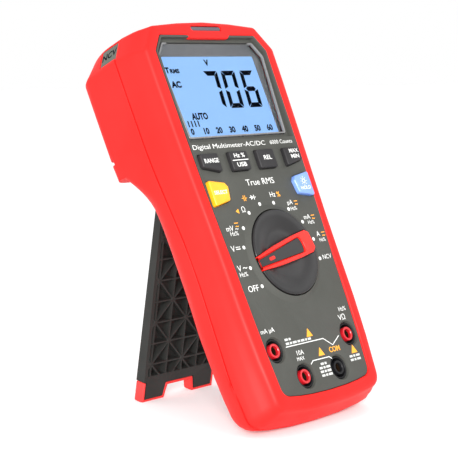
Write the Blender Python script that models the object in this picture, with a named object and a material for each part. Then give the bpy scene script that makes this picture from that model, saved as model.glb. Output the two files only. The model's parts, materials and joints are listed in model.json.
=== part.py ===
"""Handheld digital multimeter leaning back on its opened tilt stand.

Sizes below are in millimetres and become metres when a mesh is made.  The case is laid out in a
frame of its own: u runs right and v up along the face, w runs out of the face, and the origin is the
centre of the rotary switch on the control panel.  The whole case then leans back on its stand.
"""
import math

import bmesh
import bpy
from mathutils import Matrix, Vector

MM = 0.001
FIT = 0.3                 # gap between pieces that touch

# Case outlines, right half from bottom centre to top centre: (u, v, corner radius).
SEAM = ((0, -73.3, 0), (16, -73.0, 0), (30, -71.8, 0), (41.4, -69.9, 7), (42.9, -56, 0), (43.1, -44, 0),
        (42.8, -25, 0), (42.5, -5, 0), (42.8, 15, 0), (43.5, 35, 0), (44.0, 50, 0), (44.3, 60, 0),
        (45.0, 84, 0), (45.4, 101, 4), (38.5, 111.8, 4), (19, 113.2, 0), (0, 113.6, 0))
CREASE = ((0, -69.4, 0), (15, -69.1, 0), (26, -68.0, 0), (35.4, -66.3, 6), (36.5, -55, 0), (37.7, -44, 0),
          (38.8, -25, 0), (39.1, -5, 0), (39.5, 15, 0), (40.4, 35, 0), (41.0, 50, 0), (41.4, 60, 0),
          (42.2, 84, 0), (42.4, 99, 3), (34.0, 110.6, 3), (17, 112.2, 0), (0, 112.9, 0))
BACK = ((0, -56.2, 0), (10, -56.0, 0), (18, -55.6, 0), (27.5, -54.6, 3), (29, -50, 0), (30, -41, 0),
        (30.5, -25, 0), (30, -5, 0), (30.4, 15, 0), (31.5, 35, 0), (35.5, 50, 0), (38.8, 60, 0),
        (39.6, 84, 0), (40, 97, 3), (33.5, 104.4, 3), (16, 105.4, 0), (0, 105.7, 0))
WINDOW = ((0, -63.3, 0), (12, -63.0, 0), (20, -62.4, 0), (30.0, -61.0, 5), (30.8, -52, 0), (31.6, -42, 0),
          (32.5, -25, 0), (33.2, -5, 0), (34.3, 15, 0), (35.3, 35, 0), (35.8, 50, 0), (36.0, 60, 0),
          (36.4, 84, 0), (36.7, 98.2, 1.5), (31.1, 106, 1.5), (15, 106, 0), (0, 106, 0))
ARC_STEPS = 4             # points on each rounded corner

RIM_LOWER_W = 0.9         # height of the rim beside the jacks
RIM_UPPER_W = 0.1         # and beside the display
RIM_TURN = (-50.0, 50.0)  # stretch of v where the rim eases from one to the other
RIM_ROLL_W = -0.85        # where the rim starts to roll over into the side
CREASE_W = -1.75          # where the rim turns down into the side
SEAM_UPPER_W = -17.6      # seam between the two shells, at the top
SEAM_LOWER_W = -14.0      # and below the waist
SEAM_TURN = (0.0, 62.0)   # stretch of v where the seam eases from one to the other
WALL = 2.4

BLOCK_D = 43.0            # depth of the thick upper back
BLOCK_V = 53.0            # lower end of the thick part
NECK_V = 20.0             # where the hollow curve up to it starts
NECK_RISE = 8.5
BLOCK_INSIDE_V = (66.0, 70.0)
ROUND_UPPER = 5.0         # rounding of the back edge, front to back
ROUND_LOWER = 11.0
ROUND_END = 17.5
SLOT_V = (60.5, 63.0)     # strap slot across the back
SLOT_D = BLOCK_D - 4.5

# Cells and the battery bay, stacked back from the floor of the tray
CELL_R = 5.25
CELL_L = 44.5
CELL_V = -33.0
CELL_GAP = 0.5            # between neighbouring cells and under them
CELL_PITCH = 2 * CELL_R + CELL_GAP
POLE_R = 2.2
POLE_L = 1.0
BAY_WALL = 1.2
BAY_HALF = 2 * CELL_PITCH + CELL_GAP / 2 + BAY_WALL - 0.45
BAY_END = 1.9
BAY_FLOOR_W = -12.4
CELL_W = BAY_FLOOR_W - BAY_WALL - CELL_GAP - 0.05 - CELL_R
PLATE_T = 0.35
DOOR_TAB = 7.5            # the door runs on past the bay, to its screw
RECESS_W = CELL_W - CELL_R - 0.25 - FIT - WALL    # floor of the recess that takes the folded stand
HANDLE_D = 2.4 - RECESS_W                         # depth of the slim lower back

# Tilt stand
HINGE_V = 52.0
HINGE_W = RECESS_W - 3.6
OPEN_DEG = 34.6           # between the opened stand and the back
STAND_L = 109.6
STAND_HALF = 23.8
STAND_BACK = 2.6          # outer face, behind the hinge axis
STAND_T_TOP = 3.7
STAND_T_FOOT = 5.5
BARREL_R = 3.2
PIN_R = 1.5
PIN_REACH = 4.0
NOTCH = (7.8, 9.6, 6.5)   # half width inside, half width at the foot, height
TRIM_L = 10.0
TRIM_T = 1.3
RECESS_HALF = STAND_HALF + 0.9
SOLE_TRIM = 0.4           # how much the resting flats take off the rounded heel

# Control panel and display
PANEL_T = 2.0
STEP_V = 54.5             # the panel steps back above this line
STEP_W = -2.4
PANEL_BACK = -4.0
LENS = ((32.2, 56.8, 1.0), (34.9, 96.0, 1.0), (29.8, 102.9, 1.0))
LENS_W = (-3.4, -1.6)
LCD = (31.2, 57.8, 97.4)
LCD_W = (-7.0, -5.0)
BACKLIGHT_W = (-8.7, -7.3)
TONGUE = (12.6, 104.3, 15.8, 106.8)
TONGUE_W = -2.1
INDICATOR = (9.8, 108.2, 110.2)
PCB_W = (-10.8, -9.2)

# Rotary switch
KNOB_R = 19.9
KNOB_W = (-0.7, 2.4)
DISH_W = 0.5
POCKET_GAP = 0.5          # shallow pocket in the panel around the knob
POCKET_D = 1.0
COLLAR_R = KNOB_R + 3.1   # sloping collar of the panel around the knob
COLLAR_H = 1.6
HUB_R = 6.0
HUB_W = -4.2
LEVER_DEG = 10.6          # wide end of the lever, from +u
LEVER = ((0.4 - KNOB_R, 3.3), (-6.0, 4.7), (8.0, 5.4), (KNOB_R - 2.9, 5.4), (KNOB_R - 0.6, 3.8))
LEVER_W = (0.3, 2.9)
INLAY = ((0.8 - KNOB_R, 1.6), (KNOB_R - 7.5, 3.5))
INLAY_W = (1.3, 2.1)
DETENTS = 16
ROTOR_R = 20.0
NOTCH_DEPTH = 0.9         # of the detent wheel
ROTOR_W = (-6.5, -4.5)
WIPER_W = (-8.8, -6.8)

# Keys: outlines on the right half, mirrored for the left
KEY_TOP = 2.0
KEY_GAP = 0.35
KEY_LIP = 0.8
KEY_LIP_W = (-3.1, -2.3)
KEY_TRAVEL = 0.9
KEY_OUTER = ((22.2, 48.5), (33.2, 48.5), (33.2, 42.4), (22.0, 39.8))
KEY_INNER = ((3.3, 48.6), (14.8, 48.6), (14.8, 39.8), (3.3, 39.8))
KEY_LARGE = ((22.3, 32.6), (23.8, 34.7), (33.4, 36.3), (33.4, 24.5), (23.5, 26.4))
MAT_W = (-8.9, -8.1)

# Input jacks: name, u, v, sleeve colour
JACKS = (("ma", -25.2, -41.2, "red"), ("volt", 25.2, -41.2, "red"),
         ("10a", -11.6, -54.85, "red"), ("com", 11.6, -54.85, "black"))
WELL_R = (4.4, 5.1)
SLEEVE_R = (2.1, 3.2)
SLEEVE_BORE = 2.75
CONTACT_R = (2.05, 2.5)
JACK_DEPTH = RECESS_W + WALL + 2.2  # the housings end just above the back
MOUTH_R = WELL_R[1] + 0.8  # shallow mouth around each jack
MOUTH_D = 0.9

# Small parts
KEY_ROUND = 0.8
ZEBRA_T = 2.0
PCB_INSET = 2.0
MAT_HALF = 31.0
MAT_V = (23.0, 51.0)
SENSOR_ENDS = ((-44.4, 102.6), (-39.2, 110.7))
SENSOR_T = 1.1
SENSOR_W = (-29.0, SEAM_UPPER_W + 0.1)
SCREW_HEAD_R = 2.4
SCREW_HEAD_L = 1.3
SCREW_R = 1.1
SCREW_L = 7.0
CASE_SCREWS = ((-31, 86, -BLOCK_D), (31, 86, -BLOCK_D), (-18, -49, RECESS_W), (18, -49, RECESS_W))
DOOR_SCREW = (0.0, CELL_V + CELL_L + BAY_END + DOOR_TAB / 2, RECESS_W)
FUSE_L = 38.0
BAY_TOP = CELL_V + CELL_L + BAY_END
FUSES = (("fuse_10a", BAY_TOP + 32.6, 5.1), ("fuse_ma", BAY_TOP + 11.1, 3.2))
CLIP_T = 0.6
CHIP_HALF = 8.0
CHIP_V = (74.0, 90.0)
CHIP_T = 1.6
BUZZER_R = 6.0
BUZZER_L = 4.9
BUZZER_PLACE = (-20.0, 60.0)

PAINTS = {
    "red_shell": ((0.80, 0.035, 0.040), 0.42, 0.0),
    "panel_grey": ((0.115, 0.115, 0.105), 0.55, 0.0),
    "dark_grey": ((0.060, 0.056, 0.060), 0.50, 0.0),
    "stand_grey": ((0.035, 0.036, 0.035), 0.60, 0.0),
    "red_rubber": ((0.62, 0.030, 0.030), 0.60, 0.0),
    "yellow_key": ((0.86, 0.62, 0.02), 0.40, 0.0),
    "blue_key": ((0.13, 0.30, 0.66), 0.40, 0.0),
    "clear_lens": ((0.80, 0.84, 0.86), 0.08, 0.0),
    "display_glass": ((0.34, 0.58, 1.00), 0.15, 0.0),
    "white_plastic": ((0.80, 0.80, 0.78), 0.45, 0.0),
    "smoke_lens": ((0.12, 0.08, 0.12), 0.20, 0.0),
    "black_plastic": ((0.012, 0.012, 0.013), 0.45, 0.0),
    "red_plastic": ((0.60, 0.010, 0.018), 0.35, 0.0),
    "circuit_green": ((0.02, 0.16, 0.06), 0.45, 0.0),
    "brass": ((0.70, 0.48, 0.16), 0.30, 1.0),
    "steel": ((0.55, 0.55, 0.56), 0.32, 1.0),
    "silicone": ((0.35, 0.36, 0.37), 0.70, 0.0),
    "ceramic": ((0.78, 0.76, 0.70), 0.40, 0.0),
    "cell_wrap": ((0.10, 0.16, 0.30), 0.35, 0.0),
}


def point(u, v, w):
    """A point of the case frame as Blender coordinates."""
    return Vector((u, -w, v)) * MM


def paint(name):
    material = bpy.data.materials.get(name)
    if material is None:
        colour, roughness, metallic = PAINTS[name]
        material = bpy.data.materials.new(name)
        material.use_nodes = True
        shader = material.node_tree.nodes["Principled BSDF"]
        shader.inputs["Base Color"].default_value = (*colour, 1.0)
        shader.inputs["Roughness"].default_value = roughness
        shader.inputs["Metallic"].default_value = metallic
        material.diffuse_color = (*colour, 1.0)
    return material


def node(name, bm, colour, parent):
    """Turn a bmesh into a named object with its own material slot."""
    bmesh.ops.recalc_face_normals(bm, faces=bm.faces)
    mesh = bpy.data.meshes.new(name)
    bm.to_mesh(mesh)
    bm.free()
    mesh.shade_smooth()
    mesh.set_sharp_from_angle(angle=math.radians(35))
    thing = bpy.data.objects.new(name, mesh)
    bpy.context.collection.objects.link(thing)
    mesh.materials.append(paint(colour))
    thing.parent = parent
    return thing


def combine(target, bm, operation):
    """Cut a shape from an object, or join a shape to it."""
    tool = node(target.name + "_tool", bm, "dark_grey", target.parent)
    tool.hide_render = True
    tool.display_type = "WIRE"
    change = target.modifiers.new("shape", "BOOLEAN")
    change.operation = operation
    change.solver = "EXACT"
    change.object = tool
    return tool


def cut(target, *shapes):
    for bm in shapes:
        combine(target, bm, "DIFFERENCE")


def join(target, *shapes):
    for bm in shapes:
        combine(target, bm, "UNION")


def prism(outline, w0, w1):
    """An outline of (u, v) points, extruded from w0 to w1."""
    bm = bmesh.new()
    face = bm.faces.new([bm.verts.new(point(u, v, w0)) for u, v in outline])
    made = bmesh.ops.extrude_face_region(bm, geom=[face])
    top = [v for v in made["geom"] if isinstance(v, bmesh.types.BMVert)]
    bmesh.ops.translate(bm, verts=top, vec=point(0, 0, w1 - w0))
    return bm


def block(u0, u1, v0, v1, w0, w1):
    return prism(((u0, v0), (u1, v0), (u1, v1), (u0, v1)), w0, w1)


def rod_u(radius, u0, u1, v, w, steps=20):
    """A round bar along u."""
    ring = [(v + radius * math.cos(a), w + radius * math.sin(a)) for a in turns(steps)]
    bm = bmesh.new()
    face = bm.faces.new([bm.verts.new(point(u0, a, b)) for a, b in ring])
    made = bmesh.ops.extrude_face_region(bm, geom=[face])
    end = [x for x in made["geom"] if isinstance(x, bmesh.types.BMVert)]
    bmesh.ops.translate(bm, verts=end, vec=point(u1 - u0, 0, 0))
    return bm


def turns(steps, phase=0.0):
    return [2 * math.pi * (i + phase) / steps for i in range(steps)]


def circle(radius, u=0.0, v=0.0, steps=24):
    return [(u + radius * math.cos(a), v + radius * math.sin(a)) for a in turns(steps)]


def turned(profile, u=0.0, v=0.0, steps=24):
    """A closed (radius, w) profile turned about an axis along w through (u, v)."""
    bm = bmesh.new()
    verts = [bm.verts.new(point(u + r, v, w)) for r, w in profile]
    edges = [bm.edges.new((a, b)) for a, b in zip(verts, verts[1:] + verts[:1])]
    bmesh.ops.spin(bm, geom=verts + edges, cent=point(u, v, 0), axis=(0, 1, 0),
                   angle=2 * math.pi, steps=steps, use_merge=True)
    bmesh.ops.remove_doubles(bm, verts=bm.verts, dist=1e-7)
    bmesh.ops.dissolve_degenerate(bm, edges=bm.edges, dist=1e-7)
    return bm


def rounded(corners):
    """Fillet the corners of an open chain of (u, v, radius) points."""
    out = [corners[0][:2]]
    for before, corner, after in zip(corners, corners[1:], corners[2:]):
        if corner[2] == 0:
            out.append(corner[:2])
        else:
            out += fillet(Vector(before[:2]), Vector(corner[:2]), Vector(after[:2]), corner[2])
    return out + [corners[-1][:2]]


def fillet(before, corner, after, radius):
    a = (before - corner).normalized()
    b = (after - corner).normalized()
    half = a.angle(b) / 2
    centre = corner + (a + b).normalized() * radius / math.sin(half)
    start = corner + a * radius / math.tan(half) - centre
    end = corner + b * radius / math.tan(half) - centre
    sweep = start.angle_signed(end)
    return [tuple(centre + Matrix.Rotation(-sweep * i / ARC_STEPS, 2) @ start) for i in range(ARC_STEPS + 1)]


def whole(half, heights=()):
    """Close a right half outline with its mirror image, after adding side points at some heights."""
    right = rounded(half)
    for height in heights:
        i = next(i for i in range(len(right) - 1) if right[i][1] < height <= right[i + 1][1])
        share = (height - right[i][1]) / (right[i + 1][1] - right[i][1])
        right[i + 1:i + 1] = between(right[i:i + 1], right[i + 1:i + 2], share)
    return right + [(-u, v) for u, v in reversed(right[1:-1])]


def filleted(corners):
    """A closed outline of (u, v, radius) corners, filleted all round."""
    count = len(corners)
    out = []
    for i, corner in enumerate(corners):
        before = Vector(corners[i - 1][:2])
        after = Vector(corners[(i + 1) % count][:2])
        if corner[2]:
            out += fillet(before, Vector(corner[:2]), after, corner[2])
        else:
            out.append(corner[:2])
    return out


def offset(outline, distance):
    """Move a closed anticlockwise outline outwards by a distance."""
    out = []
    count = len(outline)
    for i in range(count):
        before = Vector(outline[i - 1])
        here = Vector(outline[i])
        after = Vector(outline[(i + 1) % count])
        a = (here - before).normalized()
        b = (after - here).normalized()
        normal = Vector((a.y + b.y, -a.x - b.x)).normalized()
        stretch = 1 / max(0.35, normal.dot(Vector((a.y, -a.x))))
        out.append(tuple(here + normal * distance * stretch))
    return out


def between(a, b, share):
    return [(p[0] + (q[0] - p[0]) * share, p[1] + (q[1] - p[1]) * share) for p, q in zip(a, b)]


def ease(x, x0, x1, y0, y1):
    """A smooth step from y0 to y1 as x goes from x0 to x1."""
    t = min(1.0, max(0.0, (x - x0) / (x1 - x0)))
    return y0 + (y1 - y0) * t * t * (3 - 2 * t)


def rim_w(v):
    return ease(v, *RIM_TURN, RIM_LOWER_W, RIM_UPPER_W)


def seam_w(v):
    return ease(v, *SEAM_TURN, SEAM_LOWER_W, SEAM_UPPER_W)


def back_depth(v):
    """Depth of the back at height v: slim below, a hollow curve up to the foot of the thick block."""
    if v >= BLOCK_V:
        return BLOCK_D
    return HANDLE_D + NECK_RISE * max(0.0, (v - NECK_V) / (BLOCK_V - NECK_V)) ** 3


def back_round(v):
    side = ease(v, BLOCK_V - 18, BLOCK_V, ROUND_LOWER, ROUND_UPPER)
    return ease(v, -25, -60, side, ROUND_END) if v < 0 else ease(v, 98, 111, side, ROUND_END)


def skin(loops, ends=False):
    """Bridge a list of closed loops of points; ends caps the first and last with cross strips."""
    bm = bmesh.new()
    rings = [[bm.verts.new(p) for p in loop] for loop in loops]
    count = len(rings[0])
    pairs = list(zip(rings, rings[1:]))
    if not ends:
        pairs.append((rings[-1], rings[0]))
    for a, b in pairs:
        for i in range(count):
            j = (i + 1) % count
            bm.faces.new((a[i], a[j], b[j], b[i]))
    if ends:
        for ring in (rings[0], rings[-1]):
            for i in range(count // 2):
                strip = [ring[i], ring[i + 1], ring[count - i - 1], ring[(count - i) % count]]
                bm.faces.new(list(dict.fromkeys(strip)))
    return bm


def raise_loop(outline, height):
    """Give each (u, v) point its w from a function of v, or a constant."""
    if not callable(height):
        return [point(u, v, height) for u, v in outline]
    return [point(u, v, height(v)) for u, v in outline]


def empty(name, parent=None):
    thing = bpy.data.objects.new(name, None)
    thing.empty_display_size = 0.01
    bpy.context.collection.objects.link(thing)
    thing.parent = parent
    return thing


def front_bezel(case):
    seam, crease, window = whole(SEAM), whole(CREASE), whole(WINDOW)
    inner_crease = offset(crease, -WALL)
    profile = [
        raise_loop(window, rim_w),
        raise_loop(between(window, crease, 0.80), lambda v: rim_w(v) - 0.5),
        raise_loop(between(window, crease, 0.97), RIM_ROLL_W),
        raise_loop(between(crease, seam, 0.06), CREASE_W - 0.5),
        raise_loop(between(crease, seam, 0.55), CREASE_W - 5.0),
        raise_loop(seam, lambda v: seam_w(v) + FIT / 2),
        raise_loop(offset(seam, -WALL), lambda v: seam_w(v) + FIT / 2),
        raise_loop(inner_crease, CREASE_W - WALL),
        raise_loop(window, lambda v: rim_w(v) - WALL - 1.0),
    ]
    bezel = node("front_bezel", skin(profile), "red_shell", case)
    low, low_v, high, high_v = TONGUE
    tongue = ((-low, low_v), (low, low_v), (high, high_v + 1), (-high, high_v + 1))
    join(bezel, prism(tongue, TONGUE_W, RIM_UPPER_W - 0.05))
    cut(bezel, indicator_shape(FIT, RIM_UPPER_W + 2, -8))
    return bezel


def indicator_shape(gap, w1, w0):
    half, v0, v1 = INDICATOR
    radius = (v1 - v0) / 2 + gap - 0.05
    corners = [(-half - gap, v0 - gap, radius), (half + gap, v0 - gap, radius),
               (half + gap, v1 + gap, radius), (-half - gap, v1 + gap, radius)]
    return prism(filleted(corners), w0, w1)


def rear_shell(case):
    stations = (NECK_V + 21, NECK_V + 27, BLOCK_V - 0.1, BLOCK_V + 0.1, *BLOCK_INSIDE_V)
    seam, back = whole(SEAM, stations), whole(BACK, stations)
    inside = offset(seam, -WALL)
    inside_back = offset(back, 0.6)
    loops = [
        raise_loop(inside_back, lambda v: -inner_depth(v)),
        raise_loop(between(inside_back, inside, 0.7), lambda v: 0.35 * back_round(v) - inner_depth(v)),
        raise_loop(inside, lambda v: min(0.8 * back_round(v) - inner_depth(v), seam_w(v) - 3)),
        raise_loop(inside, lambda v: seam_w(v) - FIT / 2),
        raise_loop(seam, lambda v: seam_w(v) - FIT / 2),
    ]
    for turn in (0, 22, 45, 68, 90):
        out = math.cos(math.radians(turn))
        down = 1 - math.sin(math.radians(turn))
        loops.append([point(u, v, back_round(v) * down - back_depth(v)) for u, v in between(back, seam, out)])
    shell = node("rear_shell", skin(loops, ends=True), "red_shell", case)
    half, low, high = BAY_HALF + BAY_WALL, CELL_V - BAY_END - BAY_WALL, CELL_V + CELL_L + BAY_END + DOOR_TAB
    pin_end = RECESS_HALF + PIN_REACH + FIT
    cut(shell, block(-60, 60, *SLOT_V, -60, -SLOT_D),
        block(-RECESS_HALF, RECESS_HALF, -90, SLOT_V[0], -60, RECESS_W),
        block(-half, half, low, high, -60, -10),
        rod_u(PIN_R + FIT / 2, -pin_end, pin_end, HINGE_V, HINGE_W))
    for u, v, face in CASE_SCREWS:
        cut(shell, screw_hole(u, v, face))
    cut(shell, sensor_shape(0.0))
    return shell


def inner_depth(v):
    """Depth of the hollow inside the back shell."""
    return ease(v, *BLOCK_INSIDE_V, -RECESS_W - WALL, BLOCK_D - WALL)


def sensor_shape(gap):
    """The sensor cover's seat, on the chamfer of the upper left corner, behind the seam."""
    a, b = SENSOR_ENDS
    along = (Vector(b) - Vector(a)).normalized()
    out = Vector((-along.y, along.x))
    if out.x > 0:
        out = -out
    start = Vector(a) + along * gap - out * (SENSOR_T - gap)
    end = Vector(b) - along * gap - out * (SENSOR_T - gap)
    far = SENSOR_T - 2 * gap if gap else 6
    outline = [tuple(start), tuple(end), tuple(end + out * far), tuple(start + out * far)]
    return prism(outline, SENSOR_W[0] + gap, SENSOR_W[1] - gap)


def screw_hole(u, v, face):
    r, shank = SCREW_HEAD_R + FIT, SCREW_R + FIT
    floor = face + SCREW_HEAD_L + FIT
    profile = ((0, face - 8), (r, face - 8), (r, floor), (shank, floor), (shank, face + 9), (0, face + 9))
    return turned(profile, u, v, 16)


def screw(name, u, v, face, parent):
    head = face + 0.2
    profile = ((0, head + 0.5), (0.9, head + 0.5), (1.1, head), (SCREW_HEAD_R, head),
               (SCREW_HEAD_R, head + SCREW_HEAD_L), (SCREW_R, head + SCREW_HEAD_L),
               (SCREW_R, head + SCREW_L), (0, head + SCREW_L))
    return node(name, turned(profile, u, v, 12), "steel", parent)


def control_panel(case):
    panel = node("front_panel", prism(offset(whole(WINDOW), -FIT), PANEL_BACK, 0), "panel_grey", case)
    low, low_v, high, high_v = TONGUE
    join(panel, turned(((HUB_R, -0.5), (COLLAR_R, -0.5), (COLLAR_R, 0.0), (KNOB_R, COLLAR_H),
                        (HUB_R, COLLAR_H)), steps=48))
    cut(panel, block(-50, 50, STEP_V, 120, STEP_W, 5),
        block(-50, 50, -80, STEP_V - 1.6, -9, -PANEL_T),
        prism(offset(lens_outline(), FIT), -9, 5),
        prism(((-low - FIT, low_v - FIT), (low + FIT, low_v - FIT), (high + 1, 112), (-high - 1, 112)),
              TONGUE_W - FIT, 5),
        prism(circle(KNOB_R + POCKET_GAP, steps=48), -POCKET_D, 5),
        prism(circle(HUB_R + FIT), -9, 5))
    for _, u, v, _ in JACKS:
        cut(panel, prism(circle(MOUTH_R, u, v), -MOUTH_D, 5),
            prism(circle(WELL_R[1] + FIT, u, v, 20), -9, 5))
    for _, outline, _ in key_list():
        cut(panel, prism(offset(outline, KEY_GAP), -9, 5))
    return panel


def lens_outline():
    right = list(LENS)
    left = [(-u, v, r) for u, v, r in reversed(right)]
    return filleted(right + left)


def flipped(outline):
    return [(-u, v) for u, v in reversed(outline)]


def anticlockwise(outline):
    area = sum(a[0] * b[1] - b[0] * a[1] for a, b in zip(outline, outline[1:] + outline[:1]))
    return outline if area > 0 else outline[::-1]


def key_list():
    """Name, outline and colour of each key."""
    shapes = (("key_range", flipped(KEY_OUTER), "dark_grey"),
              ("key_frequency", flipped(KEY_INNER), "dark_grey"),
              ("key_relative", list(KEY_INNER), "dark_grey"),
              ("key_max_min", list(KEY_OUTER), "dark_grey"),
              ("key_select", flipped(KEY_LARGE), "yellow_key"),
              ("key_hold", list(KEY_LARGE), "blue_key"))
    return [(name, filleted([(*p, KEY_ROUND) for p in anticlockwise(outline)]), colour)
            for name, outline, colour in shapes]


def keys(case):
    for name, outline, colour in key_list():
        loops = [raise_loop(offset(outline, KEY_LIP), KEY_LIP_W[0]),
                 raise_loop(offset(outline, KEY_LIP), KEY_LIP_W[1]),
                 raise_loop(outline, KEY_LIP_W[1]),
                 raise_loop(outline, KEY_TOP - 0.7),
                 raise_loop(offset(outline, -0.7), KEY_TOP)]
        node(name, capped(loops), colour, case)


def capped(loops):
    """Bridge loops and close both ends with one face each."""
    bm = bmesh.new()
    rings = [[bm.verts.new(p) for p in loop] for loop in loops]
    for a, b in zip(rings, rings[1:]):
        for i in range(len(a)):
            j = (i + 1) % len(a)
            bm.faces.new((a[i], a[j], b[j], b[i]))
    bm.faces.new(rings[0])
    bm.faces.new(rings[-1])
    return bm


def display(case):
    node("display_lens", prism(lens_outline(), *LENS_W), "clear_lens", case)
    half, low, high = LCD
    node("lcd_module", block(-half, half, low, high, *LCD_W), "display_glass", case)
    node("lcd_backlight", block(-half, half, low, high, *BACKLIGHT_W), "white_plastic", case)
    node("zebra_strip", block(-half, half, low - FIT - ZEBRA_T, low - FIT, PCB_W[1] + FIT, LCD_W[1]),
         "silicone", case)
    node("indicator_lens", indicator_shape(0.0, RIM_UPPER_W - 0.5, -4), "smoke_lens", case)
    node("ncv_sensor_cover", sensor_shape(FIT), "panel_grey", case)


def circuit(case):
    outline = offset(whole([(u, v, 0) for u, v, _ in WINDOW]), -PCB_INSET)
    board = node("main_pcb", prism(outline, *PCB_W), "circuit_green", case)
    for _, u, v, _ in JACKS:
        cut(board, prism(circle(WELL_R[1] + 2 * FIT, u, v, 16), -20, 0))
    mat = node("keypad_mat", block(-MAT_HALF, MAT_HALF, *MAT_V, *MAT_W), "silicone", case)
    for _, outline, _ in key_list():
        u = sum(p[0] for p in outline) / len(outline)
        v = sum(p[1] for p in outline) / len(outline)
        foot, top = MAT_W[1] - 0.3, KEY_LIP_W[0] - KEY_TRAVEL - FIT
        join(mat, turned(((0, foot), (3.0, foot), (1.8, top), (0, top)), u, v, 12))
    chip = PCB_W[0] - FIT
    node("main_ic", block(-CHIP_HALF, CHIP_HALF, *CHIP_V, chip - CHIP_T, chip), "black_plastic", case)
    top, low = PCB_W[0] - FIT, PCB_W[0] - FIT - BUZZER_L
    can = ((0, top), (BUZZER_R, top), (BUZZER_R, low), (1.2, low), (1.2, low + 1), (0, low + 1))
    node("buzzer", turned(can, *BUZZER_PLACE, 20), "black_plastic", case)


def rotary_switch(case):
    knob = empty("knob_axis", case)
    r, (low, high) = KNOB_R, KNOB_W
    profile = ((0, HUB_W), (HUB_R, HUB_W), (HUB_R, low), (r, low), (r, high - 0.9), (r - 1.2, high),
               (r - 2.2, high), (r - 7, DISH_W + 0.3), (r - 12, DISH_W), (0, DISH_W))
    disc = node("selector_knob", turned(profile, steps=40), "dark_grey", knob)
    cut(disc, prism(offset(lever_outline(), FIT), 0, 9))
    lever = node("knob_lever", prism(lever_outline(), *LEVER_W), "red_plastic", knob)
    cut(lever, prism(inlay_outline(FIT, INLAY[0][0] - 9), INLAY_W[0] - FIT, 9))
    node("knob_inlay", prism(inlay_outline(0.0, INLAY[0][0]), *INLAY_W), "dark_grey", knob)
    teeth = [ROTOR_R - NOTCH_DEPTH * (i % 2) for i in range(DETENTS * 2)]
    wheel = [(a * math.cos(b), a * math.sin(b)) for a, b in zip(teeth, turns(DETENTS * 2))]
    node("switch_rotor", prism(wheel, *ROTOR_W), "white_plastic", knob)
    foot, top = WIPER_W
    track = ((12, top), (12, foot), (13.5, foot), (14, top - 0.4), (17, top - 0.4), (17, top))
    node("rotor_wiper", turned(track, steps=24), "brass", knob)
    spring = [(-9, -ROTOR_R - 2.2), (-3, -ROTOR_R - 0.6), (3, -ROTOR_R - 0.6), (9, -ROTOR_R - 2.2)]
    strip = spring + [(u, v - 0.4) for u, v in reversed(spring)]
    node("detent_spring", prism(strip, ROTOR_W[0], ROTOR_W[1]), "steel", case)


def turn_points(points, degrees):
    a = math.radians(degrees)
    return [(u * math.cos(a) - v * math.sin(a), u * math.sin(a) + v * math.cos(a)) for u, v in points]


def lever_outline():
    side = list(LEVER)
    return turn_points([(u, -h) for u, h in side] + [(u, h) for u, h in reversed(side)], LEVER_DEG)


def inlay_outline(gap, tip):
    (_, narrow), (wide_u, wide) = INLAY
    low, high, end = narrow + gap, wide + gap, wide_u + gap
    return turn_points([(tip, -low), (end, -high), (end, high), (tip, low)], LEVER_DEG)


def jacks(case):
    colours = {"red": "red_plastic", "black": "black_plastic"}
    bore, well = WELL_R
    lip, sleeve = SLEEVE_R
    inner, outer = CONTACT_R
    for name, u, v, colour in JACKS:
        floor = JACK_DEPTH + 1.5
        cup = ((bore, -MOUTH_D), (well, -MOUTH_D), (well, JACK_DEPTH), (0, JACK_DEPTH), (0, floor),
               (bore, floor))
        node("jack_housing_" + name, turned(cup, u, v, 20), "black_plastic", case)
        base = floor + FIT
        node("jack_sleeve_" + name,
             turned(((lip, -0.4), (sleeve, -0.4), (sleeve, base), (SLEEVE_BORE, base), (SLEEVE_BORE, -2.0),
                     (lip, -2.0)), u, v, 20), colours[colour], case)
        node("jack_contact_" + name,
             turned(((inner, -2.3), (outer, -2.3), (outer, base), (inner, base)), u, v, 16), "brass", case)


def power(case):
    low, high = CELL_V, CELL_V + CELL_L
    half, end = BAY_HALF, BAY_END
    door_top = RECESS_W + WALL
    tray = node("battery_tray", block(-half, half, low - end, high + end, door_top + FIT, BAY_FLOOR_W),
                "black_plastic", case)
    cut(tray, block(-half + BAY_WALL, half - BAY_WALL, low - end + BAY_WALL, high + end - BAY_WALL,
                    -60, BAY_FLOOR_W - BAY_WALL))
    for i in range(4):
        u = (i - 1.5) * CELL_PITCH
        node("cell_%d" % (i + 1), cell(u, low), "cell_wrap", case)
    for name, v in (("battery_plate_lower", low - 0.2 - PLATE_T), ("battery_plate_upper", high + 0.2)):
        reach = half - BAY_WALL - FIT
        node(name, block(-reach, reach, v, v + PLATE_T, door_top + 1.2, BAY_FLOOR_W - BAY_WALL - FIT),
             "steel", case)
    edge = BAY_WALL - FIT
    door_end = high + end + DOOR_TAB - FIT
    door = node("battery_door", block(-half - edge, half + edge, low - end - edge, door_end, RECESS_W, door_top),
                "red_shell", case)
    cut(door, screw_hole(*DOOR_SCREW))
    for name, v, radius in FUSES:
        w = PCB_W[0] - FIT - CLIP_T - radius - 2 * FIT
        node(name, rod_u(radius, -FUSE_L / 2, FUSE_L / 2, v, w, 16), "ceramic", case)
        for side, u in (("left", -FUSE_L / 2 + 2), ("right", FUSE_L / 2 - 6)):
            clip = node("%s_clip_%s" % (name, side),
                        block(u, u + 4, v - radius - 1.2, v + radius + 1.2, w - radius * 0.6,
                              PCB_W[0] - FIT), "brass", case)
            cut(clip, block(u - 1, u + 5, v - radius - FIT, v + radius + FIT, w - radius * 2,
                            w + radius + FIT))


def cell(u, low):
    """A round cell lying along v, with its raised pole at the top."""
    top = low + CELL_L
    rings = ((low, CELL_R), (top - POLE_L, CELL_R), (top - POLE_L, POLE_R), (top, POLE_R))
    return capped([[point(u + r * math.cos(a), v, CELL_W + r * math.sin(a)) for a in turns(16)]
                   for v, r in rings])


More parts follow.
